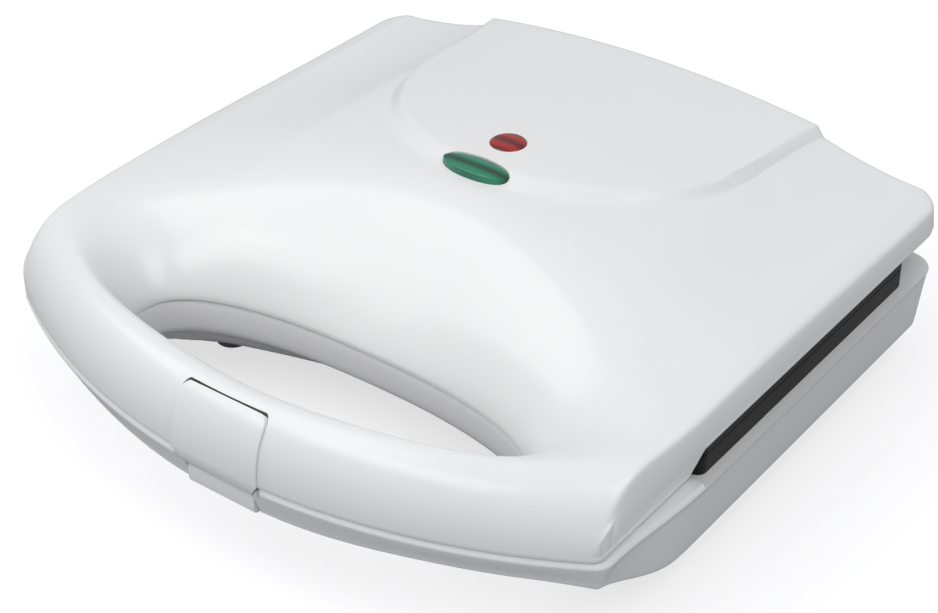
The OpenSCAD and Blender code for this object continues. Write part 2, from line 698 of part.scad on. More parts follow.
// Pressed steel strap that holds the tube against the plate, with its face at z = 0 and its body below
module element_strap() {
    for (side = [-1, 1]) translate([side * stud_x, 0, -clamp_t]) difference() {
        translate([-clamp_w / 2, plate_mid_y - loop_half_y - 7, 0]) cube([clamp_w, 2 * loop_half_y + 14, clamp_t]);
        translate([0, plate_mid_y, -1]) cylinder(h = clamp_t + 2, r = stud_r + 0.2, $fn = 24);
        for (y = [plate_mid_y - loop_half_y / 2, plate_mid_y + loop_half_y / 2])
            translate([0, y, -1]) cylinder(h = clamp_t + 2, r = 3.4, $fn = 24);
    }
}
module lower_element_clamp() {
    color(steel) translate([0, 0, lower_face_z - clamp_drop]) element_strap();
}
module upper_element_clamp() {
    color(steel) translate([0, 0, upper_face_z + clamp_drop]) scale([1, 1, -1]) element_strap();
}

nut_t = 1;
module clamp_nut(drop) {
    for (side = [-1, 1]) translate([side * stud_x, plate_mid_y, -drop - nut_t]) difference() {
        cylinder(h = nut_t, r = 4.4, $fn = 6);
        translate([0, 0, -1]) cylinder(h = nut_t + 2, r = stud_r + 0.02, $fn = 24);
    }
}
module lower_clamp_nut() {
    color(steel) translate([0, 0, lower_face_z]) clamp_nut(clamp_drop + clamp_t);
}
module upper_clamp_nut() {
    color(steel) translate([0, 0, upper_face_z]) scale([1, 1, -1]) clamp_nut(clamp_drop + clamp_t);
}

reflector_t = 0.6;
reflector_h = 6.6;
reflector_half = [loop_half_x + 13, loop_half_y + 18];
reflector_flat = [loop_half_x - 6, loop_half_y + 6];
reflector_drop = pocket_depth + plate_t + stud_h + 0.3;
// Corner points of a rounded rectangle about the middle
function rounded(half, r) = [for (q = [0 : 3]) for (a = [0 : 30 : 90])
    [(q == 0 || q == 3 ? 1 : -1) * (half[0] - r) + r * cos(90 * q + a),
        (q < 2 ? 1 : -1) * (half[1] - r) + r * sin(90 * q + a)]];
// Rounded rectangle that widens from its lower to its upper half size
module dish(low, high, height) {
    capped_loft([at_z(rounded(low, 8), 0), at_z(rounded(high, 10), height)], [0, 0, 0], [0, 0, height]);
}
// Shallow steel dish that throws the heat back to the plate, floor at z = 0, rim upwards
module reflector_tray() {
    translate([0, plate_mid_y, 0]) difference() {
        dish(reflector_flat, reflector_half, reflector_h);
        translate([0, 0, reflector_t])
            dish(reflector_flat, reflector_half, reflector_h);
        for (x = [-36 : 24 : 36]) for (y = [-26, 26])
            translate([x, y, -1]) cylinder(h = 4, r = 2.6, $fn = 20);
    }
}
module lower_reflector() {
    color(steel) translate([0, 0, lower_face_z - reflector_drop - reflector_t]) reflector_tray();
}
module upper_reflector() {
    color(steel) translate([0, 0, upper_face_z + reflector_drop + reflector_t]) scale([1, 1, -1]) reflector_tray();
}

// Bimetal thermostat under the lower plate: disc housing, ceramic body and two tabs
module thermostat() {
    color("tan") translate([0, plate_mid_y - 18, lower_face_z - pocket_depth - plate_t - 0.1]) {
        translate([0, 0, -2]) cylinder(h = 2, r = 8, $fn = 40);
        translate([0, 0, -7]) cylinder(h = 5, r = 6.6, $fn = 40);
        for (side = [-1, 1]) translate([side * 3.4 - 0.5, 5, -6.4]) cube([1, 6, 3]);
    }
}

fuse_x = 56;
// Thermal fuse in its sleeve, in the trough behind the lower plate
module thermal_fuse() {
    color("whitesmoke") {
        bar_x(fuse_x, fuse_x + 16, trough_y, trough_z, 2);
        bar_x(fuse_x - 6, fuse_x + 22, trough_y, trough_z, 0.6);
    }
}

trough_y = tub_rear_y - 4.2;
trough_z = foot_h + 8;

block_x = -22;
block_l = 24;
// Three-way terminal block on the base's floor
module terminal_block() {
    color("whitesmoke") difference() {
        translate([block_x - block_l, trough_y - 3.4, foot_h + base_floor_t]) cube([block_l, 7.2, 9]);
        for (i = [0 : 2]) translate([block_x - block_l + 4 + 8 * i, trough_y + 0.2, foot_h + base_floor_t + 3.5])
            cylinder(h = 9, r = 2.4, $fn = 24);
    }
}

// ---- wiring ----

// Round wire through a list of points, mitred at each bend
WIRE_N = 12;
function unit(v) = v / norm(v);
function wire_ring(points, k, r) =
    let (
        n = len(points) - 1,
        into = unit(points[max(k, 1)] - points[max(k, 1) - 1]),
        out = unit(points[min(k, n - 1) + 1] - points[min(k, n - 1)]),
        t = unit(into + out),
        u = unit(cross(t, [0.31, 0.43, 0.85])),
        v = cross(t, u)
    )
    [for (i = [0 : WIRE_N - 1]) points[k] + r * (u * cos(360 * i / WIRE_N) + v * sin(360 * i / WIRE_N))];
module wire(points, r) {
    n = len(points) - 1;
    capped_loft([for (k = [0 : n]) wire_ring(points, k, r)], points[0], points[n]);
}

wire_r = 1.2;
thin_wire_r = 1;
element_wire_z = lower_element_z + 1.6;
wire_way = [[0, tub_rear_y - 4, foot_h + 15], [0, hinge_y, foot_h + 25], [0, hinge_y, hinge_z]];
module base_wiring() {
    color("gray") {
        wire([[block_x + 0.1, trough_y + 1, trough_z], [-6, trough_y + 1, trough_z], wire_way[0], wire_way[1],
            wire_way[2], [10.8, hinge_y, hinge_z]], wire_r);
        wire([[9.8, plate_mid_y + loop_half_y, lower_element_z], [8.4, plate_mid_y + loop_half_y, lower_element_z],
            [7, plate_mid_y + loop_half_y + 5, element_wire_z],
            [7, trough_y - 2.5, element_wire_z], [10, trough_y, trough_z + 2], [20, trough_y, trough_z],
            [fuse_x - 6.1, trough_y, trough_z]], thin_wire_r);
    }
}
module lid_wiring() {
    color("gray") wire([[11.1, hinge_y, hinge_z], [17.5, hinge_y, hinge_z], [18, hinge_y - 2, hinge_z + 12],
        [18, hinge_y - 7, 62], [18, hinge_y - 25, 65.2], [18, hinge_y - 45, 66.2], [9, red_y + 16, 66.5],
        [6, red_y + 6.8, 66.3]], wire_r);
}

// ---- indicators ----

function ellipse(a, b, n) = [for (i = [0 : n - 1]) [a * cos(360 * i / n), b * sin(360 * i / n)]];
LENS_N = 36;
red_z = lid_top(0, red_y);
green_z = lid_top(0, green_y);
lens_clear = 0.15;

module lens_holes() {
    translate([0, red_y, 60]) cylinder(h = 30, r = red_d / 2 + lens_clear, $fn = 48);
    translate([0, green_y, 60]) linear_extrude(height = 30)
        polygon(ellipse(green_l / 2 + lens_clear, green_w / 2 + lens_clear, LENS_N));
}

// Domed lens body in stacked slices of one outline, widest at the collar under the wall
module lens(a, b, z) {
    collar_z = lid_base_top(0, red_y) - lid_wall - 2.7;
    translate([0, 0, collar_z]) linear_extrude(height = 1) polygon(ellipse(a + 1.4, b + 1.4, LENS_N));
    translate([0, 0, collar_z + 1 - small]) linear_extrude(height = z - collar_z - 1)
        polygon(ellipse(a, b, LENS_N));
    for (i = [0 : 3]) translate([0, 0, z + lens_proud * i / 4 - 2 * small])
        linear_extrude(height = lens_proud / 4 + small)
        polygon(ellipse(a * cos(10 + 14 * i), b * cos(10 + 14 * i), LENS_N));
}
module red_lens() {
    color("firebrick") translate([0, red_y, 0]) lens(red_d / 2, red_d / 2, red_z);
}
module green_lens() {
    color("seagreen") translate([0, green_y, 0]) lens(green_l / 2, green_w / 2, green_z);
}

lamp_z = 66.4;
lamp_r = 1.6;
// Moulded cradle that holds both glow lamps under their lenses
module lamp_holder() {
    color(ivory) difference() {
        union() {
            translate([-11, green_y - 6, lamp_z - 2.4]) cube([22, red_y - green_y + 12, 2.6]);
            for (side = [-1, 1]) translate([side * 9, (green_y + red_y) / 2, lamp_z - 1])
                cylinder(h = 4.2, r = 1.5, $fn = 24);
        }
        for (y = [green_y, red_y]) bar_x(-8, 8, y, lamp_z, lamp_r + 0.1);
    }
}
module glow_lamp(y) {
    bar_x(-6.5, 4, y, lamp_z, lamp_r);
    bar_x(3.9, 5.6, y, lamp_z, lamp_r * 0.6);
    for (side = [-1, 1]) bar_x(-7.8, -6.4, y + side * 0.9, lamp_z, 0.4);
}
module red_lamp() {
    color("orangered") glow_lamp(red_y);
}
module green_lamp() {
    color("palegreen") glow_lamp(green_y);
}

// ---- hinge pins ----

// Hinge pin with a flat head on its outer end
module hinge_pin() {
    bar_x(ear_x[0] - 0.6, ear_x[1] + ear_w + 0.5, hinge_y, hinge_z, pin_r);
    bar_x(ear_x[1] + ear_w + 0.4, ear_x[1] + ear_w + 1.6, hinge_y, hinge_z, pin_r + 1);
}
module left_hinge_pin() {
    color(steel) scale([-1, 1, 1]) hinge_pin();
}
module right_hinge_pin() {
    color(steel) hinge_pin();
}

// ---- latch ----

latch_pivot_y = front_y + 7.4;
catch_z0 = bar_under_z + 3.3;
catch_z1 = catch_z0 + 4.2;
catch_depth = 2.6;
leg_out_y = front_y - latch_proud;
catch_front_y = leg_out_y + 5.9;
catch_gap = 0.3;
latch_end = 68;
latch_end_r = norm([front_y + front_roll - (front_roll + latch_proud) * cos(latch_end) - latch_pivot_y,
    lip_z + (ridge_z - lip_z + latch_proud) * sin(latch_end) - latch_pivot_z]);

// Outline of the latch from the front, with rounded upper corners, down to a line at low_z
latch_top_z = lip_z + (ridge_z - lip_z + latch_proud) * sin(latch_end);
latch_corner_r = 3.2;
function latch_front(grow, low_z) =
    let (half = latch_w / 2 + grow, r = latch_corner_r, top = latch_top_z + grow + small)
    concat(
        [[half, low_z]],
        [for (a = [0 : 15 : 90]) [half - r + r * cos(a), top - r + r * sin(a)]],
        [for (a = [90 : 15 : 180]) [-half + r + r * cos(a), top - r + r * sin(a)]],
        [[-half, low_z]]
    );

// Recess for the latch in the upper handle, and the bores for its pin
module latch_recess_lid() {
    half = latch_w / 2 + latch_gap;
    intersection() {
        union() {
            translate([-half - 1, front_y - 20, 20]) cube([2 * half + 2, latch_pivot_y - front_y + 20, 80]);
            translate([-half - 1, latch_pivot_y - 1, 20]) cube([2 * half + 2, 6, latch_pivot_z - 20]);
            bar_x(-half - 1, half + 1, latch_pivot_y, latch_pivot_z, latch_end_r + latch_gap);
        }
        translate([0, front_y + 30, 0]) rotate([90, 0, 0]) linear_extrude(height = 60)
            polygon(latch_front(latch_gap, 18));
    }
    bar_x(-latch_w / 2 - 3.6, latch_w / 2 + 3.6, latch_pivot_y, latch_pivot_z, latch_pin_r + pin_clear);
}
// Gap for the latch in the lower handle, with rounded ends of the handle on both sides
handle_end_r = 4;
module latch_recess_base() {
    half = latch_w / 2 + latch_gap;
    translate([0, 0, 15]) linear_extrude(height = 40) {
        round_rect(-half, front_y - 20, half, catch_front_y + catch_depth, 2);
        for (side = [-1, 1]) scale([side, 1, 1]) difference() {
            translate([half - 1, front_y - 4]) square([handle_end_r + 1, handle_end_r + 4.3]);
            translate([half + handle_end_r, front_y + handle_end_r + 0.3]) circle(handle_end_r, $fn = 40);
        }
    }
}
// Ledge that the latch hooks under
module catch_bar() {
    translate([-latch_w / 2 - 1, catch_front_y, catch_z0]) cube([latch_w + 2, catch_depth + 1, catch_z1 - catch_z0]);
}

LATCH_N = 20;
// Side profile of the latch in the YZ plane: a curved cover, a leg that slants in, and a hook on its end
function latch_curve(grow) = [for (i = [0 : LATCH_N]) let (a = mix(latch_end, 0, i / LATCH_N))
    [front_y + front_roll - (front_roll + grow) * cos(a), lip_z + (ridge_z - lip_z + grow) * sin(a)]];
latch_rib_z = catch_z0 - 0.3;
latch_tip_y = catch_front_y - catch_gap;
latch_profile = concat(
    latch_curve(latch_proud),
    [[leg_out_y + 0.15, bar_under_z + 10.4], [leg_out_y + 0.6, bar_under_z + 8.8], [leg_out_y + 1.3, bar_under_z + 8.5],
        [leg_out_y + 1.9, bar_under_z + 5.2], [leg_out_y + 2.9, bar_under_z + 2.6], [leg_out_y + 3.9, bar_under_z + 0.8],
        [latch_tip_y - 0.5, bar_under_z + 0.7], [latch_tip_y, latch_rib_z - 1.2],
        [latch_tip_y, latch_rib_z], [latch_tip_y - 1.5, latch_rib_z], [leg_out_y + latch_t + 0.6, bar_under_z + 9]],
    [for (i = [LATCH_N : -1 : 0]) latch_curve(latch_proud - latch_t)[i]]
);
module latch() {
    color(white) difference() {
        intersection() {
            union() {
                rotate([90, 0, 90]) translate([0, 0, -latch_w / 2]) linear_extrude(height = latch_w)
                    polygon(latch_profile);
                bar_x(-latch_w / 2, latch_w / 2, latch_pivot_y, latch_pivot_z, 2.7);
            }
            // the latch narrows where it passes between the ends of the lower handle
            translate([0, front_y + 30, 0]) rotate([90, 0, 0]) linear_extrude(height = 60)
                polygon(concat([[latch_low_w / 2, 10], [latch_low_w / 2, parting_z - 4]], latch_front(0, parting_z + 1),
                    [[-latch_low_w / 2, parting_z - 4], [-latch_low_w / 2, 10]]));
        }
        bar_x(-latch_w, latch_w, latch_pivot_y, latch_pivot_z, latch_pin_r + pin_clear);
    }
}
module latch_pin() {
    color(steel) bar_x(-latch_w / 2 - 3.4, latch_w / 2 + 3.4, latch_pivot_y, latch_pivot_z, latch_pin_r);
}

// ---- feet and cord inlet ----

foot_peg_r = 2.5;
module foot_places() {
    for (x = [-foot_x, foot_x]) for (y = [foot_front_y, foot_rear_y]) translate([x, y, 0]) children();
}
// Four feet with a rounded tread and a peg pressed into the base
module feet() {
    color(ivory) foot_places() {
        rotate_extrude($fn = 40) polygon([[0, 0], [foot_r - 1.5, 0], [foot_r - 0.4, 0.6], [foot_r, 1.8],
            [foot_r + 0.6, foot_h - small], [0, foot_h - small]]);
        translate([0, 0, foot_h - 0.5]) cylinder(h = base_floor_t, r = foot_peg_r - 0.02, $fn = 32);
    }
}

cord_x = 40;
cord_z = foot_h + 11;
inlet_r = 5.4;
inlet_seat_y = base_rear_y - 4.1;
// Moulded bush in the rear wall that the power cord enters by
module cord_inlet() {
    color("gainsboro") translate([cord_x, 0, cord_z]) rotate([-90, 0, 0]) difference() {
        union() {
            translate([0, 0, tub_rear_y - 1]) cylinder(h = 5, r = inlet_r - 0.05, $fn = 40);
            translate([0, 0, inlet_seat_y + small]) cylinder(h = 2.6, r = inlet_r + 1.8, $fn = 40);
        }
        cylinder(h = base_rear_y + 10, r = cord_hole_r, $fn = 40);
    }
}

base_housing();
lid_housing();
lower_plate();
upper_plate();
lower_heating_element();
upper_heating_element();
lower_element_clamp();
upper_element_clamp();
lower_reflector();
upper_reflector();
thermostat();
thermal_fuse();
terminal_block();
base_wiring();
lid_wiring();
lamp_holder();
red_lamp();
green_lamp();
red_lens();
green_lens();
left_hinge_pin();
right_hinge_pin();
latch();
latch_pin();
lower_plate_screws();
upper_plate_screws();
lower_clamp_nut();
upper_clamp_nut();
feet();
cord_inlet();
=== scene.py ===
"""Sandwich toaster: fine shells, latch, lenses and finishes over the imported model."""
import math

import bmesh
import bpy
import numpy as np
from mathutils import Matrix, Vector


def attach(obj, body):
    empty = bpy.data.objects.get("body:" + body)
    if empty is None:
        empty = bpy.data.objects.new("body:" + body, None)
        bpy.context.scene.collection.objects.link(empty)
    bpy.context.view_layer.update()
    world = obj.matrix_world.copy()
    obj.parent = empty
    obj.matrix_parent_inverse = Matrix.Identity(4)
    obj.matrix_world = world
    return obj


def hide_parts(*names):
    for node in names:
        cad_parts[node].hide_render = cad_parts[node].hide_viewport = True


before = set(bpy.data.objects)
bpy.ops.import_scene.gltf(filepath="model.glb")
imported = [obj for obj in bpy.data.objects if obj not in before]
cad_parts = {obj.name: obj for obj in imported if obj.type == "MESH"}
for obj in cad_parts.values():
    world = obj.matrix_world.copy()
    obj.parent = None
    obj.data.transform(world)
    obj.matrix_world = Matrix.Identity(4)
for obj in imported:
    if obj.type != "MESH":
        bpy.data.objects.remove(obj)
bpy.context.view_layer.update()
MM = 0.001

# ---------------------------------------------------------------- sizes, in millimetres
# body
body_w, body_d, front_d = 224.6, 219.0, 75.3
foot_h, rim_z, parting_z, parting_gap = 11.0, 34.0, 36.0, 0.6
front_y = -body_d / 2 + 0.2
rear_y = front_y + body_d
step_y, step_lean = front_y + front_d, 1.5
base_half, base_rear_y, base_taper = body_w / 2, rear_y - 2, 3.0
front_r, front_corner_r, rear_corner_r = 207.0, 6.0, 10.0
arc_y = front_y + front_r
bar_d, bar_under_z = 20.5, 24.0
handle_lift, sweep_l = 1.6, 45.0

# lid
lid_bottom_z = parting_z + parting_gap
lip_z = lid_bottom_z + 1
lid_edge_z, lid_wall, flank_z = 46.4, 2.4, 48.7
lid_half, lid_taper, lid_foot_in = body_w / 2 - 1.3, 2.4, 3.3
cavity_front_y = step_y - step_lean + 0.5
crown_z, crown_rear_z, crown_fall = 73.5, 69.5, (10, 110)
ridge_z, side_rear_z, side_fall = 58.0, 55.6, (-20, 130)
crown_rise = (-68, 76)
valley_depth, valley_x, valley_half, valley_rise = 1.8, 84, 19, (-50, 130)
panel_rise, panel_edge, panel_nose_edge = 2.8, 2.6, 8.0
panel_r, panel_rear_half, panel_turn = 64.0, 67.0, 10.0
panel_y = rear_y - 39.2
front_roll, corner_roll = 12.0, 18.0

# handle window
window_half, window_depth_half, window_power = 70.0, 23.3, 2.4
window_y = front_y + bar_d + window_depth_half
window_roll_front, window_roll_rear = 9.0, 45.0
window_under_z, window_slope_w, window_slit = 22.5, 18.0, 0.6

# plates, their screws, and the tub of the base
plate_half, plate_front_y, plate_rear_y = body_w / 2 - 3.9, step_y + 3.7, rear_y - 20.2
screw_x, screw_ys, plate_top_z = plate_half - 5, (plate_front_y + 20, plate_rear_y - 20), 47.3
boss_r, boss_bore_r, boss_bore_l = 4.2, 1.42, 7
tub_half, tub_front_y, tub_rear_y, tub_corner_r = plate_half - 4.4, plate_front_y + 5, base_rear_y - 6.6, 6

# hinge and cord inlet
hinge_y, hinge_z, barrel_r = rear_y - 4.5, 40.55, 4.4
pin_bore_r, wire_bore_r = 2.05, 2.3
cord_x, cord_z, cord_bore_r, cord_seat_r, cord_seat_d = 40, 22, 5.4, 7.3, 4.1

# latch
latch_w, latch_t, latch_proud, latch_low_w = 31.0, 2.4, 0.3, 24.6
latch_gap, handle_gap, handle_end_r = 0.09, 0.34, 1.6
latch_end, latch_corner_r, recess_corner_r = 68.0, 3.2, 2.4
latch_pivot_y, latch_pivot_z, latch_bore_r, latch_barrel_r = front_y + 7.4, 51.2, 1.55, 2.7
catch_y = front_y - latch_proud + 5.9

# lenses
green_y, green_l, green_w = rear_y - 98, 24.0, 9.0
red_y, red_d = rear_y - 81.3, 11.4
lens_gap, flange_w, flange_t, dome_h = 0.15, 1.4, 1, 0.88


# ---------------------------------------------------------------- the lid's height, as in the solids
def smooth(v):
    c = np.clip(v, 0, 1)
    return c * c * (3 - 2 * c)


def eased(v, start_and_length):
    """Smooth step from 0 to 1 over a length."""
    start, length = start_and_length
    return smooth((v - start) / length)


def mix(a, b, t):
    return a + (b - a) * t


def side_z(y):
    return mix(ridge_z, side_rear_z, eased(y, side_fall))


def crown(x, y):
    middle = mix(crown_z, crown_rear_z, eased(y, crown_fall))
    lift = (middle - side_z(y)) * eased(y, crown_rise)
    return side_z(y) + lift * (1 - np.minimum(1, np.abs(x) / lid_half) ** 2)


def window_distance(x, y):
    q = (np.abs(x / window_half) ** window_power
         + np.abs((y - window_y) / window_depth_half) ** window_power) ** (1 / window_power)
    return np.hypot(x, y - window_y) * (1 - 1 / np.maximum(q, 1))


def window_side(x, y):
    """0 in front of the window, 1 behind it."""
    v = (y - window_y) / window_depth_half
    return smooth(0.5 + 0.5 * v / np.maximum(np.hypot(x / window_half, v), 0.01))


def roll(share, power):
    """Rounded rise from an edge: 0 at the edge, 1 from its full width on."""
    return np.maximum(0, 1 - (1 - np.clip(share, 0, 1)) ** 2) ** power


def panel_half(y):
    return mix(panel_r, panel_rear_half, np.clip((y - panel_y) / (rear_y - panel_y), 0, 1) ** 2)


def panel_inset(x, y):
    return np.where(y < panel_y, panel_r - np.hypot(x, y - panel_y), panel_half(y) - np.abs(x))


def panel_band(y):
    return mix(panel_edge, panel_nose_edge, smooth((panel_y - y) / panel_r))


def valley(x, y):
    across = np.maximum(0, 1 - ((np.abs(x) - valley_x) / valley_half) ** 2)
    return valley_depth * eased(y, valley_rise) * across


def lid_base_top(x, y):
    from_front = front_r - np.hypot(x, y - arc_y)
    front_width = mix(front_roll, corner_roll, (np.abs(x) / lid_half) ** 2)
    side = window_side(x, y)
    window_width = mix(window_roll_front, window_roll_rear, side)
    return (lip_z + (crown(x, y) - valley(x, y) - lip_z) * roll(from_front / front_width, 0.5)
            * roll(window_distance(x, y) / window_width, mix(0.5, 0.8, side)))


def lid_top(x, y):
    return lid_base_top(x, y) + panel_rise * smooth(panel_inset(x, y) / panel_band(y))


# ---------------------------------------------------------------- outlines
# points on each stretch of the right half, from the middle of the front to the middle of the rear
ARC, CORNER, SIDE_A, STEP, SIDE_B, REAR_CORNER, REAR_OUT, REAR_IN = 54, 18, 22, 8, 40, 16, 14, 60
SIDE = SIDE_A + STEP + SIDE_B
HALF = ARC + CORNER + SIDE + REAR_CORNER + REAR_OUT
TOTAL = HALF + REAR_IN + 1
# degrees round the window that face the front, the side, the rear corner and the rear
WINDOW_TURNS = (-90, -14, 36, 44, 90)


def steps(a, b, n):
    return a + (b - a) * np.arange(n) / n


def half_outline(half, front_half, rear, inset):
    """Right half of an outline, from the middle of the front round to the middle of the rear."""
    r = front_r - inset
    fr, rr = max(front_corner_r - inset, 0.5), max(rear_corner_r - inset, 0.5)
    fx = front_half - inset - fr
    fy = arc_y - math.sqrt((r - fr) ** 2 - fx ** 2)
    turn = math.atan2(fy - arc_y, fx)
    rx, ry = half - inset - rr, rear - inset - rr
    a = steps(-math.pi / 2, turn, ARC)
    front = np.stack([r * np.cos(a), arc_y + r * np.sin(a)], 1)
    a = steps(turn, 0, CORNER)
    corner = np.stack([fx + fr * np.cos(a), fy + fr * np.sin(a)], 1)
    y = np.concatenate([steps(fy, step_y - step_lean, SIDE_A),
                        steps(step_y - step_lean, step_y + step_lean, STEP),
                        steps(step_y + step_lean, ry, SIDE_B)])
    side = np.stack([mix(front_half, half, smooth((y - fy) / (step_y - fy))) - inset, y], 1)
    a = steps(0, math.pi / 2, REAR_CORNER)
    rear_corner = np.stack([rx + rr * np.cos(a), ry + rr * np.sin(a)], 1)
    x = np.concatenate([steps(rx, panel_rear_half, REAR_OUT), [panel_rear_half],
                        np.linspace(panel_rear_half - panel_edge, 0, REAR_IN)])
    line = np.stack([x, np.full(len(x), rear - inset)], 1)
    return np.concatenate([front, corner, side, rear_corner, line])


def half_window(grow):
    """Right half of the window's edge, with as many points as the outlines."""
    front, front_end, rear_start, rear_corner, rear = WINDOW_TURNS
    a = np.radians(np.concatenate([
        steps(front, front_end, ARC + CORNER), steps(front_end, rear_start, SIDE),
        steps(rear_start, rear_corner, REAR_CORNER), np.linspace(rear_corner, rear, REAR_OUT + REAR_IN + 1)]))
    c, s, p = np.cos(a), np.sin(a), 2 / window_power
    return np.stack([(window_half + grow) * np.sign(c) * np.abs(c) ** p,
                     window_y + (window_depth_half + grow) * np.sign(s) * np.abs(s) ** p], 1)


def whole(half):
    """Closed ring from its right half."""
    left = half[-2:0:-1].copy()
    left[:, 0] *= -1
    return np.concatenate([half, left])


def lifted(plan, z):
    """Plan points with their heights."""
    return np.concatenate([plan, np.broadcast_to(np.asarray(z, float), (len(plan),))[:, None]], 1)


# ---------------------------------------------------------------- mesh helpers
def new_object(name, verts, faces):
    mesh = bpy.data.meshes.new(name)
    mesh.from_pydata([tuple(v) for v in np.asarray(verts, float)], [], faces)
    mesh.validate()
    return linked(name, mesh)


def linked(name, data):
    obj = bpy.data.objects.new(name, data)
    bpy.context.scene.collection.objects.link(obj)
    return obj


def tube_faces(rings, count, loop):
    faces = []
    for j in range(rings if loop else rings - 1):
        for i in range(count):
            a, b = j * count + i, j * count + (i + 1) % count
            k = (j + 1) % rings
            faces.append((a, b, k * count + (i + 1) % count, k * count + i))
    return faces


def loft(name, rings, loop=True):
    """Closed surface through rings in millimetres; an open stack of rings gets flat caps."""
    count = len(rings[0])
    verts = np.concatenate(rings) * MM
    faces = tube_faces(len(rings), count, loop)
    if not loop:
        faces.append(tuple(range(count - 1, -1, -1)))
        faces.append(tuple((len(rings) - 1) * count + i for i in range(count)))
    return new_object(name, verts, faces)


def prism(name, outline, low, high, axis="z"):
    """Straight prism over an outline in millimetres; along Y the outline's points are (z, x)."""
    turn = {"z": lambda p, h: (p[0], p[1], h), "x": lambda p, h: (h, p[0], p[1]),
            "y": lambda p, h: (p[1], h, p[0])}[axis]
    rings = [np.array([turn(p, h) for p in outline], float) for h in (low, high)]
    return loft(name, rings, loop=False)


def box_mm(name, low, high):
    (x0, y0, z0), (x1, y1, z1) = low, high
    return prism(name, [(x0, y0), (x1, y0), (x1, y1), (x0, y1)], z0, z1)


def circle(x, y, r, n=48):
    return [(x + r * math.cos(2 * math.pi * i / n), y + r * math.sin(2 * math.pi * i / n)) for i in range(n)]


def ellipse(a, b, cy, n=96):
    return [(a * math.cos(2 * math.pi * i / n), cy + b * math.sin(2 * math.pi * i / n)) for i in range(n)]


def round_rect(x0, y0, x1, y1, r, n=8):
    points = []
    corners = ((x1 - r, y1 - r, 0), (x0 + r, y1 - r, 90), (x0 + r, y0 + r, 180), (x1 - r, y0 + r, 270))
    for cx, cy, start in corners:
        for i in range(n + 1):
            a = math.radians(start + 90 * i / n)
            points.append((cx + r * math.cos(a), cy + r * math.sin(a)))
    return points


def rod_x(name, x0, x1, y, z, r, n=48):
    return prism(name, circle(y, z, r, n), x0, x1, axis="x")


def drop_object(obj):
    mesh = obj.data
    bpy.data.objects.remove(obj)
    bpy.data.meshes.remove(mesh)


def outward(obj):
    """Merges doubled points and turns all faces outwards."""
    bm = bmesh.new()
    bm.from_mesh(obj.data)
    bmesh.ops.remove_doubles(bm, verts=bm.verts, dist=1e-7)
    bmesh.ops.recalc_face_normals(bm, faces=bm.faces)
    bm.to_mesh(obj.data)
    bm.free()
    return obj


def apply_modifiers(obj):
    bpy.context.view_layer.update()
    graph = bpy.context.evaluated_depsgraph_get()
    mesh = bpy.data.meshes.new_from_object(obj.evaluated_get(graph))
    old = obj.data
    obj.modifiers.clear()
    obj.data = mesh
    bpy.data.meshes.remove(old)
    return obj


def carve(obj, cutters, operation="DIFFERENCE"):
    """Takes the cutters from a solid, one after the other, or keeps what lies inside them."""
    outward(obj)
    for cutter in cutters:
        outward(cutter)
        modifier = obj.modifiers.new("carve", "BOOLEAN")
        modifier.operation, modifier.solver, modifier.object = operation, "EXACT", cutter
        apply_modifiers(obj)
        drop_object(cutter)
    return obj


def bevelled(obj, width, segments, angle):
    modifier = obj.modifiers.new("bevel", "BEVEL")
    modifier.width, modifier.segments, modifier.limit_method = width * MM, segments, "ANGLE"
    modifier.angle_limit = math.radians(angle)
    modifier.use_clamp_overlap = True
    return apply_modifiers(obj)


def shade(obj, angle=32):
    """Smooth shading, with edges sharper than the angle kept crisp."""
    bm = bmesh.new()
    bm.from_mesh(obj.data)
    limit = math.radians(angle)
    for face in bm.faces:
        face.smooth = True
    for edge in bm.edges:
        edge.smooth = len(edge.link_faces) == 2 and edge.calc_face_angle(0) < limit
    bm.to_mesh(obj.data)
    bm.free()
    return obj


def joined(name, objs):
    """One object from several closed shells."""
    bm = bmesh.new()
    for obj in objs:
        bm.from_mesh(obj.data)
        drop_object(obj)
    mesh = bpy.data.meshes.new(name)
    bm.to_mesh(mesh)
    bm.free()
    return linked(name, mesh)


def cut_corners(rings, times):
    """Rounds the profile that runs across the rings by cutting its corners, except at both ends."""
    rings = [(ring, False) for ring in rings]
    for _ in range(times):
        out = []
        for j, (ring, sharp) in enumerate(rings):
            if sharp or j == 0 or j == len(rings) - 1:
                out.append((ring, True))
                continue
            before, after = rings[j - 1][0], rings[j + 1][0]
            out += [(mix(ring, before, 0.25), False), (mix(ring, after, 0.25), False)]
        rings = out
    return [ring for ring, _ in rings]


# ---------------------------------------------------------------- lid shell
def lid_outline(d):
    return whole(half_outline(lid_half, lid_half - lid_taper, rear_y, d))


def foot_outline(d):
    """The lid's lower edge at the front, set back behind the base's lip."""
    return whole(half_outline(lid_half - lid_foot_in, lid_half - lid_foot_in, rear_y - 1, d))


def panel_edge_x(y):
    return np.where(y < panel_y, np.sqrt(np.maximum(panel_r ** 2 - (y - panel_y) ** 2, 0)), panel_half(y))


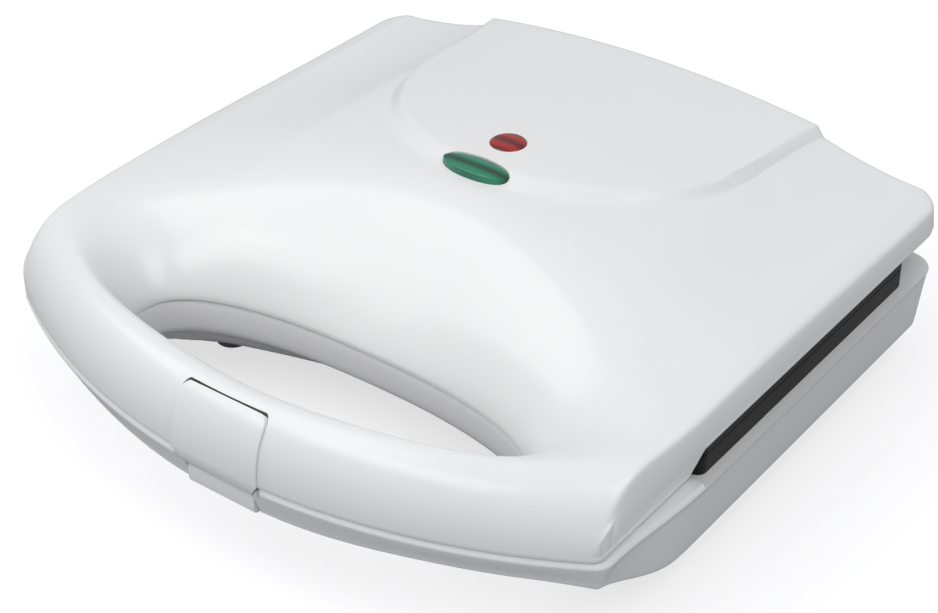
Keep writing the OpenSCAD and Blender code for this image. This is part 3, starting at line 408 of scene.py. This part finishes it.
def lid_rings():
    """Plans of the rings over the lid: from the window to the panel's edge, over it, and on outwards."""
    n_up, n_band, n_in = 44, 8, 22
    window, wide = half_window(0), half_outline(lid_half, lid_half - lid_taper, rear_y, 4)
    index = np.arange(TOTAL)
    inside = index >= HALF
    a = np.radians(mix(panel_turn, 90, np.maximum(index - HALF, 0) / REAR_IN))
    side_y0 = panel_y - panel_r * math.sin(math.radians(panel_turn))
    turn_share = (side_y0 - window_y) / (rear_y - window_y)
    rings = []
    for k in range(n_up + n_band + n_in):
        # close together at the window's edge and at the panel's, wider between
        up = min((k + 0.35) / (n_up + 0.35), 1)
        t = 1 - math.cos(math.pi / 2 * up ** 1.1)
        part = min(max(k - n_up, 0) / n_band, 1)
        last = 1 - (1 - max(k - n_up - n_band, 0) / (n_in - 1)) ** 1.5
        plan = mix(window, wide, mix(turn_share * t + 0.012 * part, 1, last))
        r = panel_r - part * panel_band(panel_y - panel_r * np.sin(a))
        start = np.stack([r * np.cos(a), panel_y - r * np.sin(a)], 1)
        target = mix(window, start, t) if k < n_up else mix(start, wide, last)
        if k >= n_up:
            y = mix(side_y0 + 2 * part, rear_y - 4, last)
            target[HALF] = (panel_edge_x(np.array(y)), y)
        plan[inside] = target[inside]
        rings.append(plan)
    return [whole(plan) for plan in rings]


def lid_side_rings(k, edge_z):
    """Shoulder, flank, groove and lower edge; k is 0 along the front and 1 along the sides and rear."""
    low = lid_outline(0)
    flank = np.minimum(flank_z, lid_top(*lid_outline(1.5).T) - 2.4)
    rings = []
    # tight shoulder of the sides: inset and drop; beside it the inset of the rolled front
    shoulder = [(2.9, 0.03, 3.3), (2.1, 0.1, 2.7), (1.5, 0.26, 2.15), (1.05, 0.55, 1.6),
                (0.78, 0.95, 1.15), (0.62, 1.6, 0.75), (0.52, 2.8, 0.42)]
    for d_side, drop, d_front in shoulder:
        side, front = lid_outline(d_side), lid_outline(d_front)
        z_side = np.maximum(lid_top(*side.T) - drop, flank + 0.6)
        rings.append(mix(lifted(front, lid_top(*front.T)), lifted(side, z_side), k))
    front = lid_outline(0.14)
    rings.append(mix(lifted(front, lid_top(*front.T)), lifted(low, flank), k))
    rise = ((edge_z - lid_bottom_z) / (lid_edge_z - lid_bottom_z))[:, None]
    foot = foot_outline(0)
    down = mix(low, mix(foot, low, 0.9 * rise), k)
    foot_z = edge_z + mix(0.7, 0.4, rise[:, 0])
    wall_top = rings[-1]
    # fine groove along the sides, just over the lower edge: height and depth
    for height, inset in ((2.2, 0), (1.95, 0.28), (1.55, 0.28), (1.3, 0)):
        z = foot_z + np.minimum(height - 0.4, 0.8 * (wall_top[:, 2] - foot_z))
        share = ((z - foot_z) / (wall_top[:, 2] - foot_z))[:, None]
        rings.append(lifted(mix(down, wall_top[:, :2], share) + (lid_outline(inset) - low) * k, z))
    wall = mix(lid_outline(2.2), mix(foot_outline(2.2), lid_outline(2.2), rise), k)
    return rings + [lifted(down, foot_z), lifted(mix(down, wall, 0.12), edge_z), lifted(wall, edge_z)]


def lid_under_rings(k, edge_z):
    """Inner face: the cavity over the plates, and the flat underside of the front."""
    window = half_window(0)
    wide = half_outline(lid_half, lid_half - lid_taper, rear_y, 4)
    narrow = half_outline(lid_half - lid_foot_in, lid_half - lid_foot_in, rear_y - 1, 4.4)
    room = (lid_outline(0)[:, 1] > cavity_front_y) & (k[:, 0] == 1)
    is_open = (wide[:, 1] > cavity_front_y)[:, None]
    edge_plan = np.where(is_open, wide, narrow)
    reach = (cavity_front_y - window[:, 1:]) / (edge_plan[:, 1:] - window[:, 1:])
    t = np.where(is_open, reach, 0.5)
    rings = []
    for m in range(9):
        plan = whole(mix(edge_plan, mix(window, edge_plan, t), m / 8))
        rings.append(lifted(plan, np.where(room, lid_base_top(*plan.T) - lid_wall - 0.4, edge_z)))
    t = np.where(is_open, t, 0.8 * t)
    return rings + [lifted(whole(mix(window, edge_plan, t)), lid_bottom_z)]


def lid_shell():
    half_k = smooth((np.arange(TOTAL) - ARC + 4) / (CORNER + 8))
    k = np.concatenate([half_k, half_k[-2:0:-1]])[:, None]
    step = smooth((lid_outline(0)[:, 1] - step_y + step_lean) / (2 * step_lean))
    side_edge = mix(lid_bottom_z, lid_edge_z, step)
    edge_z = mix(lid_bottom_z, side_edge, k[:, 0])
    window = whole(half_window(0))
    rings = [lifted(window, lid_bottom_z), lifted(window, lip_z)]
    rings += [lifted(plan, lid_top(plan[:, 0], plan[:, 1])) for plan in lid_rings()]
    return loft("lid_shell", rings + lid_side_rings(k, edge_z) + lid_under_rings(k, edge_z))


# ---------------------------------------------------------------- the latch's outline and recess
def latch_top_z(grow):
    return lip_z + (ridge_z - lip_z + latch_proud) * math.sin(math.radians(latch_end)) + grow


def latch_front(grow, low_points, r=latch_corner_r):
    """Prism over the latch's front outline with rounded upper corners, for cutting along Y."""
    half, top, reach = latch_w / 2 + grow, latch_top_z(grow), 30
    arc = [(half - r + r * math.cos(a), top - r + r * math.sin(a)) for a in np.radians(np.linspace(0, 90, 12))]
    right = low_points(half) + arc
    outline = right + [(-x, z) for x, z in right[::-1]]
    return prism("front", [(z, x) for x, z in outline], front_y - reach, front_y + reach, axis="y")


def low_sides(half):
    """The latch narrows where it passes between the ends of the lower handle."""
    narrow = half - (latch_w - latch_low_w) / 2
    return [(narrow, 10), (narrow, parting_z - 4), (half, parting_z + 1)]


def straight_sides(half):
    return [(half, 18)]


def latch_recess():
    """Cutters for the latch's place in the upper handle, with the bore of its pin."""
    half, back = latch_w / 2 + latch_gap, latch_pivot_y
    end_y = front_y + front_roll - (front_roll + latch_proud) * math.cos(math.radians(latch_end))
    end_r = math.hypot(end_y - back, latch_top_z(0) - latch_pivot_z)
    cuts = [box_mm("c", (-half - 1, front_y - 20, 20), (half + 1, back, 90)),
            box_mm("c", (-half - 1, back - 1, 19), (half + 1, back + 5, latch_pivot_z)),
            rod_x("c", -half - 1.1, half + 1.1, back, latch_pivot_z, end_r + latch_gap, 96)]
    for cut in cuts:
        carve(cut, [latch_front(latch_gap, straight_sides, recess_corner_r)], "INTERSECT")
    pin_half = latch_w / 2 + 3.6
    return cuts + [rod_x("c", -pin_half, pin_half, back, latch_pivot_z, latch_bore_r)]


# ---------------------------------------------------------------- hinge barrels and bosses
def barrel(name, x0, width, foot, bore):
    """A hinge barrel with its bore and its arm, up to the lid or down to the base."""
    cy, cz, r = hinge_y, hinge_z, barrel_r
    if foot == "up":
        turn = (150, 390)
        arm = [(cy + 2.5, cz + 3.6), (cy + 2.5, cz + 12), (cy - 3, cz + 12), (cy - 3, cz + 3.2)]
    else:
        turn = (-30, 210)
        arm = [(cy - 3.2, cz - 3), (cy - 3.2, rim_z - 3), (cy + 2, rim_z - 3), (cy + 2, cz - 3.9)]
    profile = [(cy + r * math.cos(a), cz + r * math.sin(a)) for a in np.radians(np.linspace(*turn, 40))]
    return carve(prism(name, profile + arm, x0, x0 + width, axis="x"),
                 [rod_x("c", x0 - 1, x0 + width + 1, cy, cz, bore, 40)])


def boss(side, y, low, high, bore_low, bore_high):
    """Screw boss with its blind bore."""
    x = side * screw_x
    return carve(prism("boss", circle(x, y, boss_r), low, high),
                 [prism("c", circle(x, y, boss_bore_r, 24), bore_low, bore_high)])


lid = lid_shell()
carve(lid, latch_recess() + [
    prism("c", ellipse(green_l / 2 + lens_gap, green_w / 2 + lens_gap, green_y), 60, 90),
    prism("c", ellipse(red_d / 2 + lens_gap, red_d / 2 + lens_gap, red_y), 60, 90)])
lid_parts = [lid]
for side in (-1, 1):
    for x0, bore in ((65.6, pin_bore_r), (85.4, pin_bore_r), (9.4, wire_bore_r)):
        lid_parts.append(barrel("ear", min(side * x0, side * (x0 + 5)), 5, "up", bore))
    for y in screw_ys:
        top = float(lid_base_top(screw_x, y)) - lid_wall + 0.6
        lid_parts.append(boss(side, y, plate_top_z, top, plate_top_z - 1, plate_top_z + boss_bore_l))
lid_piece = shade(joined("white_lid", lid_parts))
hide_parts("lid_housing")
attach(lid_piece, "lid")


# ---------------------------------------------------------------- base shell
def under_z(x, y):
    """Underside: flat between the feet, swept up to the lower handle, and rising round the window."""
    handle_z = bar_under_z + handle_lift * smooth((np.abs(x) - 20) / 50)
    return np.maximum(mix(foot_h, handle_z, smooth((step_y - 6 - y) / sweep_l)),
                      mix(window_under_z, foot_h, smooth((window_distance(x, y) - 3) / window_slope_w)))


def base_shell():
    def outline(d, rear=0.0):
        return whole(half_outline(base_half, base_half - base_taper, base_rear_y + rear * d, d))

    def inner(d):
        return whole(half_window(d))

    def at(plan, add=0.0):
        return lifted(plan, under_z(plan[:, 0], plan[:, 1]) + add)

    # the rear wall stands straighter than the sides
    low = {d: outline(d, 0.7) for d in (8, 4.6, 3.7, 3.2, 0.8, 0.2)}
    slit = window_slit * window_side(*inner(1.6).T)
    # window wall, underside, rounded foot of the walls, walls, rounded lip
    rings = [lifted(inner(1.6), parting_z - slit), lifted(inner(0.5), parting_z - 1 - slit),
             at(inner(0.8), 3.2), at(inner(2.4), 0.5)]
    rings += [at(mix(inner(4.5), low[8], t)) for t in (0, 0.03, 0.06, 0.09, 0.12, 0.16, 0.22, 0.35, 0.6, 1)]
    rings += [at(low[4.6], 0.05), at(low[3.7], 0.4), at(low[3.2], 2.4),
              lifted(low[0.8], parting_z - 3.6), lifted(low[0.2], parting_z - 2.2),
              lifted(outline(0), parting_z - 1.3), lifted(outline(0.9), parting_z)]
    return loft("base_shell", cut_corners(rings, 2))


def handle_end(side):
    """Cutter that rounds the end of the lower handle beside the latch."""
    x, y, r = latch_w / 2 + latch_gap, front_y + 0.3, handle_end_r
    turns = np.radians(np.linspace(270, 180, 16))
    arc = [(x + r + r * math.cos(a), y + r + r * math.sin(a)) for a in turns]
    outline = [(x - 1, y - 4.3), (x + r, y - 4.3)] + arc + [(x - 1, y + r)]
    return prism("c", [(side * px, py) for px, py in outline], 15, 55)


base = base_shell()
room_half = latch_w / 2 + 1
latch_room = prism("c", round_rect(-room_half, front_y - 20, room_half, catch_y + 2.6, 2), 14, 60)
pocket_half = tub_half - 7
carve(base, [
    box_mm("c", (-body_w, step_y, rim_z), (body_w, 220, 90)),
    prism("c", round_rect(-tub_half, tub_front_y, tub_half, tub_rear_y, tub_corner_r), foot_h + 2.5, 92),
    box_mm("c", (-pocket_half, step_y + 0.8, window_under_z + 3), (pocket_half, step_y + 20.8, rim_z - 2.5)),
    carve(latch_room, [latch_front(handle_gap, low_sides)], "INTERSECT"),
    handle_end(1), handle_end(-1),
    prism("c", circle(cord_z, cord_x, cord_bore_r), 90, 130, axis="y"),
    prism("c", circle(cord_z, cord_x, cord_seat_r), base_rear_y - cord_seat_d, 130, axis="y")])
base_parts = [base, box_mm("catch", (-room_half, catch_y, bar_under_z + 3.3),
                           (room_half, catch_y + 3.6, bar_under_z + 7.5))]
for x0, width, bore in ((-85, 14, pin_bore_r), (71, 14, pin_bore_r), (-9, 18, wire_bore_r)):
    base_parts.append(barrel("knuckle", x0, width, "down", bore))
for side in (-1, 1):
    for y in screw_ys:
        base_parts.append(boss(side, y, foot_h + 2.4, rim_z, rim_z - boss_bore_l, rim_z + 1))
base_piece = shade(joined("white_base", base_parts))
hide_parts("base_housing")
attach(base_piece, "base")


# ---------------------------------------------------------------- latch
def latch_curve(grow, n=40):
    """The rolled front of the upper handle, moved outwards, from the latch's upper end to the parting."""
    across, up = front_roll + grow, ridge_z - lip_z + grow
    a = np.radians(np.linspace(latch_end, 0, n))
    return [(front_y + front_roll - across * math.cos(t), lip_z + up * math.sin(t)) for t in a]


# depths and heights of the leg's front, its tip and its rib
leg_y, tip_y, low_z, rib_z = front_y - latch_proud, catch_y - 0.3, bar_under_z, bar_under_z + 3.0
# below the curve: crease and pull tab, rounded tip, rib that goes under the catch, back of the leg
crease = [(0.1, 12), (0.3, 10.8), (0.7, 9.6), (1.25, 8.6), (1.95, 7.8), (2.6, 7.3)]
tab = [(2.45, 6.9), (2.3, 2.6), (2.6, 1.3), (3.4, 0.75)]
latch_profile = latch_curve(latch_proud) + [(leg_y + y, low_z + z) for y, z in crease + tab]
latch_profile += [(tip_y - 0.5, low_z + 0.7), (tip_y, rib_z - 1.2), (tip_y, rib_z), (tip_y - 1.5, rib_z),
                  (leg_y + latch_t + 1.4, low_z + 9.5)] + latch_curve(latch_proud - latch_t)[::-1]
latch_body = prism("latch_body", latch_profile, -latch_w / 2 - 1, latch_w / 2 + 1, axis="x")
carve(latch_body, [latch_front(0, low_sides)], "INTERSECT")
barrel_half = latch_w / 2 - 0.2
latch_barrel = carve(rod_x("b", -barrel_half, barrel_half, latch_pivot_y, latch_pivot_z, latch_barrel_r),
                     [rod_x("c", -20, 20, latch_pivot_y, latch_pivot_z, latch_bore_r)])
latch_piece = shade(joined("white_latch", [bevelled(latch_body, 0.18, 2, 50), latch_barrel]))
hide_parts("latch")
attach(latch_piece, "latch")


# ---------------------------------------------------------------- lenses
def lens(name, a, b, cy, node):
    """A lens with a collar under the lid's wall, a low dome and a rounded rim."""
    edge_z = float(lid_top(np.array(0.0), np.array(cy))) - 0.1
    collar = float(lid_base_top(np.array(0.0), np.array(red_y))) - lid_wall - 2.7
    sides = ((flange_w, collar), (flange_w, collar + flange_t), (-0.02, collar + flange_t),
             (0, collar + flange_t + 0.2), (0, edge_z))
    rings = [lifted(np.array(ellipse(a + grow, b + grow, cy)), z) for grow, z in sides]
    for angle in np.linspace(0, 0.96, 14) * math.pi / 2:
        outline = np.array(ellipse(a * math.cos(angle), b * math.cos(angle), cy))
        rings.append(lifted(outline, edge_z + dome_h * math.sin(angle) ** 0.7))
    obj = shade(outward(loft(name, rings, loop=False)), 40)
    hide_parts(node)
    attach(obj, "lid")
    return obj


green_lens = lens("green_oval_lens", green_l / 2, green_w / 2, green_y, "green_lens")
red_lens = lens("red_round_lens", red_d / 2, red_d / 2, red_y, "red_lens")


# ---------------------------------------------------------------- materials
def hex_colour(text):
    """Linear colour from an sRGB hex value."""
    values = [int(text[i:i + 2], 16) / 255 for i in (1, 3, 5)]
    return tuple(v / 12.92 if v <= 0.04045 else ((v + 0.055) / 1.055) ** 2.4 for v in values) + (1.0,)


def add_node(tree, kind, settings=None, inputs=None, links=None):
    """Adds a node with its settings, its socket values and its incoming links."""
    node = tree.nodes.new(kind)
    for key, value in (settings or {}).items():
        setattr(node, key, value)
    for key, value in (inputs or {}).items():
        node.inputs[key].default_value = value
    for key, source in (links or {}).items():
        tree.links.new(source, node.inputs[key])
    return node


def new_material(name):
    material = bpy.data.materials.new(name)
    material.use_nodes = True
    tree = material.node_tree
    tree.nodes.clear()
    output = add_node(tree, "ShaderNodeOutputMaterial")
    coords = add_node(tree, "ShaderNodeTexCoord")
    return material, tree, output, coords


def plastic(name, tint, darker, rough, grain_mm, grain_depth, spec=0.5, coat=0.0):
    """Moulded surface: a faint drift of colour, a fine grain and a slow unevenness of gloss."""
    drift_mm, gloss_spread = 45, 0.025
    material, tree, output, coords = new_material(name)
    place = {"Vector": coords.outputs["Object"]}
    drift = add_node(tree, "ShaderNodeTexNoise", {}, {"Scale": 1 / (drift_mm * MM), "Detail": 2.0}, place)
    colour = add_node(tree, "ShaderNodeMix", {"data_type": "RGBA"},
                      {6: hex_colour(tint), 7: hex_colour(darker)}, {0: drift.outputs["Fac"]})
    gloss = add_node(tree, "ShaderNodeMapRange", {}, {
        "From Min": 0.3, "From Max": 0.7, "To Min": rough - gloss_spread, "To Max": rough + gloss_spread},
        {"Value": drift.outputs["Fac"]})
    grain = add_node(tree, "ShaderNodeTexNoise", {}, {"Scale": 1 / (grain_mm * MM), "Detail": 1.5}, place)
    bump = add_node(tree, "ShaderNodeBump", {}, {"Strength": 1.0, "Distance": grain_depth * MM},
                    {"Height": grain.outputs["Fac"]})
    shader = add_node(tree, "ShaderNodeBsdfPrincipled", {},
                      {"IOR": 1.5, "Specular IOR Level": spec, "Coat Weight": coat, "Coat Roughness": 0.06},
                      {"Base Color": colour.outputs[2], "Roughness": gloss.outputs["Result"],
                       "Normal": bump.outputs["Normal"]})
    tree.links.new(shader.outputs["BSDF"], output.inputs["Surface"])
    return material


def metal(name, tint, darker, rough, brush_mm):
    """Sheet or drawn metal with fine lines along X from rolling or drawing."""
    line_stretch, line_depth = 0.08, 0.03
    material, tree, output, coords = new_material(name)
    stretch = add_node(tree, "ShaderNodeMapping", {}, {"Scale": (line_stretch, 1.0, 1.0)},
                       {"Vector": coords.outputs["Object"]})
    lines = add_node(tree, "ShaderNodeTexNoise", {}, {"Scale": 1 / (brush_mm * MM), "Detail": 3.0},
                     {"Vector": stretch.outputs["Vector"]})
    colour = add_node(tree, "ShaderNodeMix", {"data_type": "RGBA"},
                      {6: hex_colour(tint), 7: hex_colour(darker)}, {0: lines.outputs["Fac"]})
    gloss = add_node(tree, "ShaderNodeMapRange", {}, {"To Min": rough - 0.08, "To Max": rough + 0.08},
                     {"Value": lines.outputs["Fac"]})
    bump = add_node(tree, "ShaderNodeBump", {}, {"Strength": 0.6, "Distance": line_depth * MM},
                    {"Height": lines.outputs["Fac"]})
    shader = add_node(tree, "ShaderNodeBsdfPrincipled", {}, {"Metallic": 1.0},
                      {"Base Color": colour.outputs[2], "Roughness": gloss.outputs["Result"],
                       "Normal": bump.outputs["Normal"]})
    tree.links.new(shader.outputs["BSDF"], output.inputs["Surface"])
    return material


def tinted_lens(name, tint, deep):
    """Clear coloured acrylic over moulded ribs, which show as light and dark bands."""
    # the real ribs are finer; a wave of scale s repeats every 0.314 / s
    band_mm, wave_period = 5.652, 0.314
    material, tree, output, coords = new_material(name)
    ribs = add_node(tree, "ShaderNodeTexWave", {"wave_type": "BANDS", "bands_direction": "Y"},
                    {"Scale": wave_period / (band_mm * MM), "Distortion": 0.0},
                    {"Vector": coords.outputs["Object"]})
    colour = add_node(tree, "ShaderNodeMix", {"data_type": "RGBA"},
                      {6: hex_colour(deep), 7: hex_colour(tint)}, {0: ribs.outputs["Fac"]})
    bump = add_node(tree, "ShaderNodeBump", {}, {"Strength": 0.5, "Distance": 0.2 * MM},
                    {"Height": ribs.outputs["Fac"]})
    shader = add_node(tree, "ShaderNodeBsdfPrincipled", {},
                      {"Roughness": 0.12, "IOR": 1.49, "Coat Weight": 0.3, "Coat Roughness": 0.03,
                       "Subsurface Weight": 0.15, "Subsurface Scale": 2 * MM},
                      {"Base Color": colour.outputs[2], "Normal": bump.outputs["Normal"]})
    tree.links.new(shader.outputs["BSDF"], output.inputs["Surface"])
    return material


# glossy injection-moulded ABS: soft broad highlights, hardly any texture
white_abs = plastic("glossy white ABS", "#ECECEB", "#E7E7E7", 0.24, 1.6, 0.004, 0.5, 0.15)
# non-stick coating on cast aluminium: near black with a fine speckled satin
nonstick = plastic("non-stick coated casting", "#131314", "#0C0C0D", 0.45, 0.9, 0.03, 0.28)
# moulded rubber: dull, slightly dusty
grey_rubber = plastic("grey moulded rubber", "#77777A", "#6B6B6E", 0.62, 0.8, 0.02, 0.3)
# extruded silicone over the wires: softly dull
grey_silicone = plastic("grey silicone sleeve", "#7C7C7E", "#6C6C6E", 0.55, 0.6, 0.02, 0.3)
# moulded nylon: warm white with a waxy half gloss
ivory_nylon = plastic("ivory nylon", "#E9E5D8", "#DED9C9", 0.45, 0.8, 0.01, 0.4)
# pressed and fired ceramic: quite matt, slightly gritty
tan_ceramic = plastic("unglazed tan ceramic", "#CDBB9C", "#B9A582", 0.75, 0.5, 0.03, 0.3)
# woven glass fibre: matt with a visible weave
glass_sleeve = plastic("woven glass sleeve", "#E4E2DA", "#CFCDC4", 0.7, 0.7, 0.05, 0.3)
# rolled sheet: silvery with faint lines
sheet_steel = metal("rolled steel sheet", "#C9CBCD", "#A9ABAD", 0.35, 0.6)
# zinc plating: brighter and a little smoother than the sheet
plated_steel = metal("zinc-plated steel", "#D3D4D2", "#B4B6B4", 0.3, 0.4)
# heating tube: dark brown-grey from heat, dull
tube_steel = metal("heat-stained steel tube", "#6E6A66", "#4B4846", 0.5, 0.5)
# clear tinted acrylic: deep colour, sharp gloss
red_acrylic = tinted_lens("clear red acrylic", "#A8241B", "#5E0E0A")
green_acrylic = tinted_lens("clear green acrylic", "#1F8562", "#083F2E")
# drawn glass of the lamps: smooth and glossy
red_glow = plastic("red glow-lamp glass", "#E9663C", "#D64B28", 0.15, 2.0, 0.001, 0.5)
green_glow = plastic("green glow-lamp glass", "#8FE3A6", "#6FCB8A", 0.15, 2.0, 0.001, 0.5)


def dress(obj, material):
    obj.data.materials.clear()
    obj.data.materials.append(material)


for piece in (lid_piece, base_piece, latch_piece):
    dress(piece, white_abs)
dress(green_lens, green_acrylic)
dress(red_lens, red_acrylic)
finishes = {
    nonstick: ("lower_plate", "upper_plate"),
    tube_steel: ("lower_heating_element", "upper_heating_element"),
    sheet_steel: ("lower_element_clamp", "upper_element_clamp", "lower_reflector", "upper_reflector"),
    plated_steel: ("left_hinge_pin", "right_hinge_pin", "latch_pin", "lower_plate_screws",
                   "upper_plate_screws", "lower_clamp_nut", "upper_clamp_nut"),
    tan_ceramic: ("thermostat",),
    glass_sleeve: ("thermal_fuse",),
    ivory_nylon: ("terminal_block", "lamp_holder"),
    grey_silicone: ("base_wiring", "lid_wiring"),
    red_glow: ("red_lamp",),
    green_glow: ("green_lamp",),
    grey_rubber: ("feet", "cord_inlet")}
for material, names in finishes.items():
    for name in names:
        dress(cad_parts[name], material)


# ---------------------------------------------------------------- floor, lights, camera
def stage_material(name, colour, lift):
    """Matt paper that takes the object's shadow, lifted for the camera so that it is seen as white."""
    material, tree, output, coords = new_material(name)
    path = add_node(tree, "ShaderNodeLightPath")
    for_camera = add_node(tree, "ShaderNodeMath", {"operation": "MULTIPLY"}, {1: lift},
                          {0: path.outputs["Is Camera Ray"]})
    shader = add_node(tree, "ShaderNodeBsdfDiffuse", {}, {"Color": colour, "Roughness": 0.0})
    glow = add_node(tree, "ShaderNodeEmission", {}, {"Color": (1, 1, 1, 1)},
                    {"Strength": for_camera.outputs["Value"]})
    both = add_node(tree, "ShaderNodeAddShader", {}, {},
                    {0: shader.outputs["BSDF"], 1: glow.outputs["Emission"]})
    tree.links.new(both.outputs["Shader"], output.inputs["Surface"])
    return material


def area_light(name, place, aim, width, height, power):
    data = bpy.data.lights.new(name, "AREA")
    data.shape, data.size, data.size_y, data.energy = "RECTANGLE", width, height, power
    obj = linked(name, data)
    obj.location = place
    obj.rotation_euler = (Vector(aim) - Vector(place)).to_track_quat("-Z", "Y").to_euler()


floor_half, floor_z = 4, -0.0002
floor_corners = [(x * floor_half, y * floor_half, floor_z) for x, y in ((-1, -1), (1, -1), (1, 1), (-1, 1))]
floor = new_object("floor", np.array(floor_corners), [(0, 1, 2, 3)])
dress(floor, stage_material("pale paper floor", (0.4, 0.4, 0.41, 1), 0.66))

# even pale light all round, seen as plain white by the camera and through clear pieces
world = bpy.data.worlds.new("studio")
bpy.context.scene.world = world
world.use_nodes = True
tree = world.node_tree
tree.nodes.clear()
path = add_node(tree, "ShaderNodeLightPath")
either = add_node(tree, "ShaderNodeMath", {"operation": "MAXIMUM"}, {},
                  {0: path.outputs["Is Camera Ray"], 1: path.outputs["Is Transmission Ray"]})
plain = add_node(tree, "ShaderNodeBackground", {}, {"Color": (0.96, 0.97, 1.0, 1), "Strength": 0.5})
seen = add_node(tree, "ShaderNodeBackground", {}, {"Color": (1, 1, 1, 1), "Strength": 1.0})
blend = add_node(tree, "ShaderNodeMixShader", {}, {}, {
    0: either.outputs["Value"], 1: plain.outputs["Background"], 2: seen.outputs["Background"]})
add_node(tree, "ShaderNodeOutputWorld", {}, {}, {"Surface": blend.outputs["Shader"]})

area_light("softbox_left", (-0.75, -0.45, 1.2), (0, -0.02, 0.05), 1.1, 1.1, 6.6)
area_light("softbox_right", (0.85, -0.2, 1.15), (0, 0, 0.05), 0.9, 1.0, 5.2)
area_light("softbox_front", (-0.1, -1.0, 1.05), (0, -0.05, 0.05), 0.9, 0.5, 3.4)

# camera fitted to the photograph: degrees, metres, and the focal length in pixels of a picture 938 wide
azimuth, elevation, turn = (math.radians(v) for v in (37.19, 34.43, -0.43))
distance, focal_px, photo_w, sensor_w = 0.6308, 2077.2, 938, 36.0
target = Vector((12.23, -8.40, 40.0)) * MM
back = Vector((math.sin(azimuth) * math.cos(elevation), -math.cos(azimuth) * math.cos(elevation),
               math.sin(elevation)))
right = (-back).cross(Vector((0, 0, 1))).normalized()
up = right.cross(-back)
right, up = math.cos(turn) * right + math.sin(turn) * up, math.cos(turn) * up - math.sin(turn) * right
camera_data = bpy.data.cameras.new("camera")
camera_data.sensor_width = sensor_w
camera_data.lens = focal_px / photo_w * sensor_w
camera_data.clip_end = 20
camera = linked("camera", camera_data)
axes = Matrix((right, up, back)).transposed().to_4x4()
camera.matrix_world = Matrix.Translation(target + back * distance) @ axes
bpy.context.scene.camera = camera
bpy.context.scene.view_settings.view_transform = "Standard"
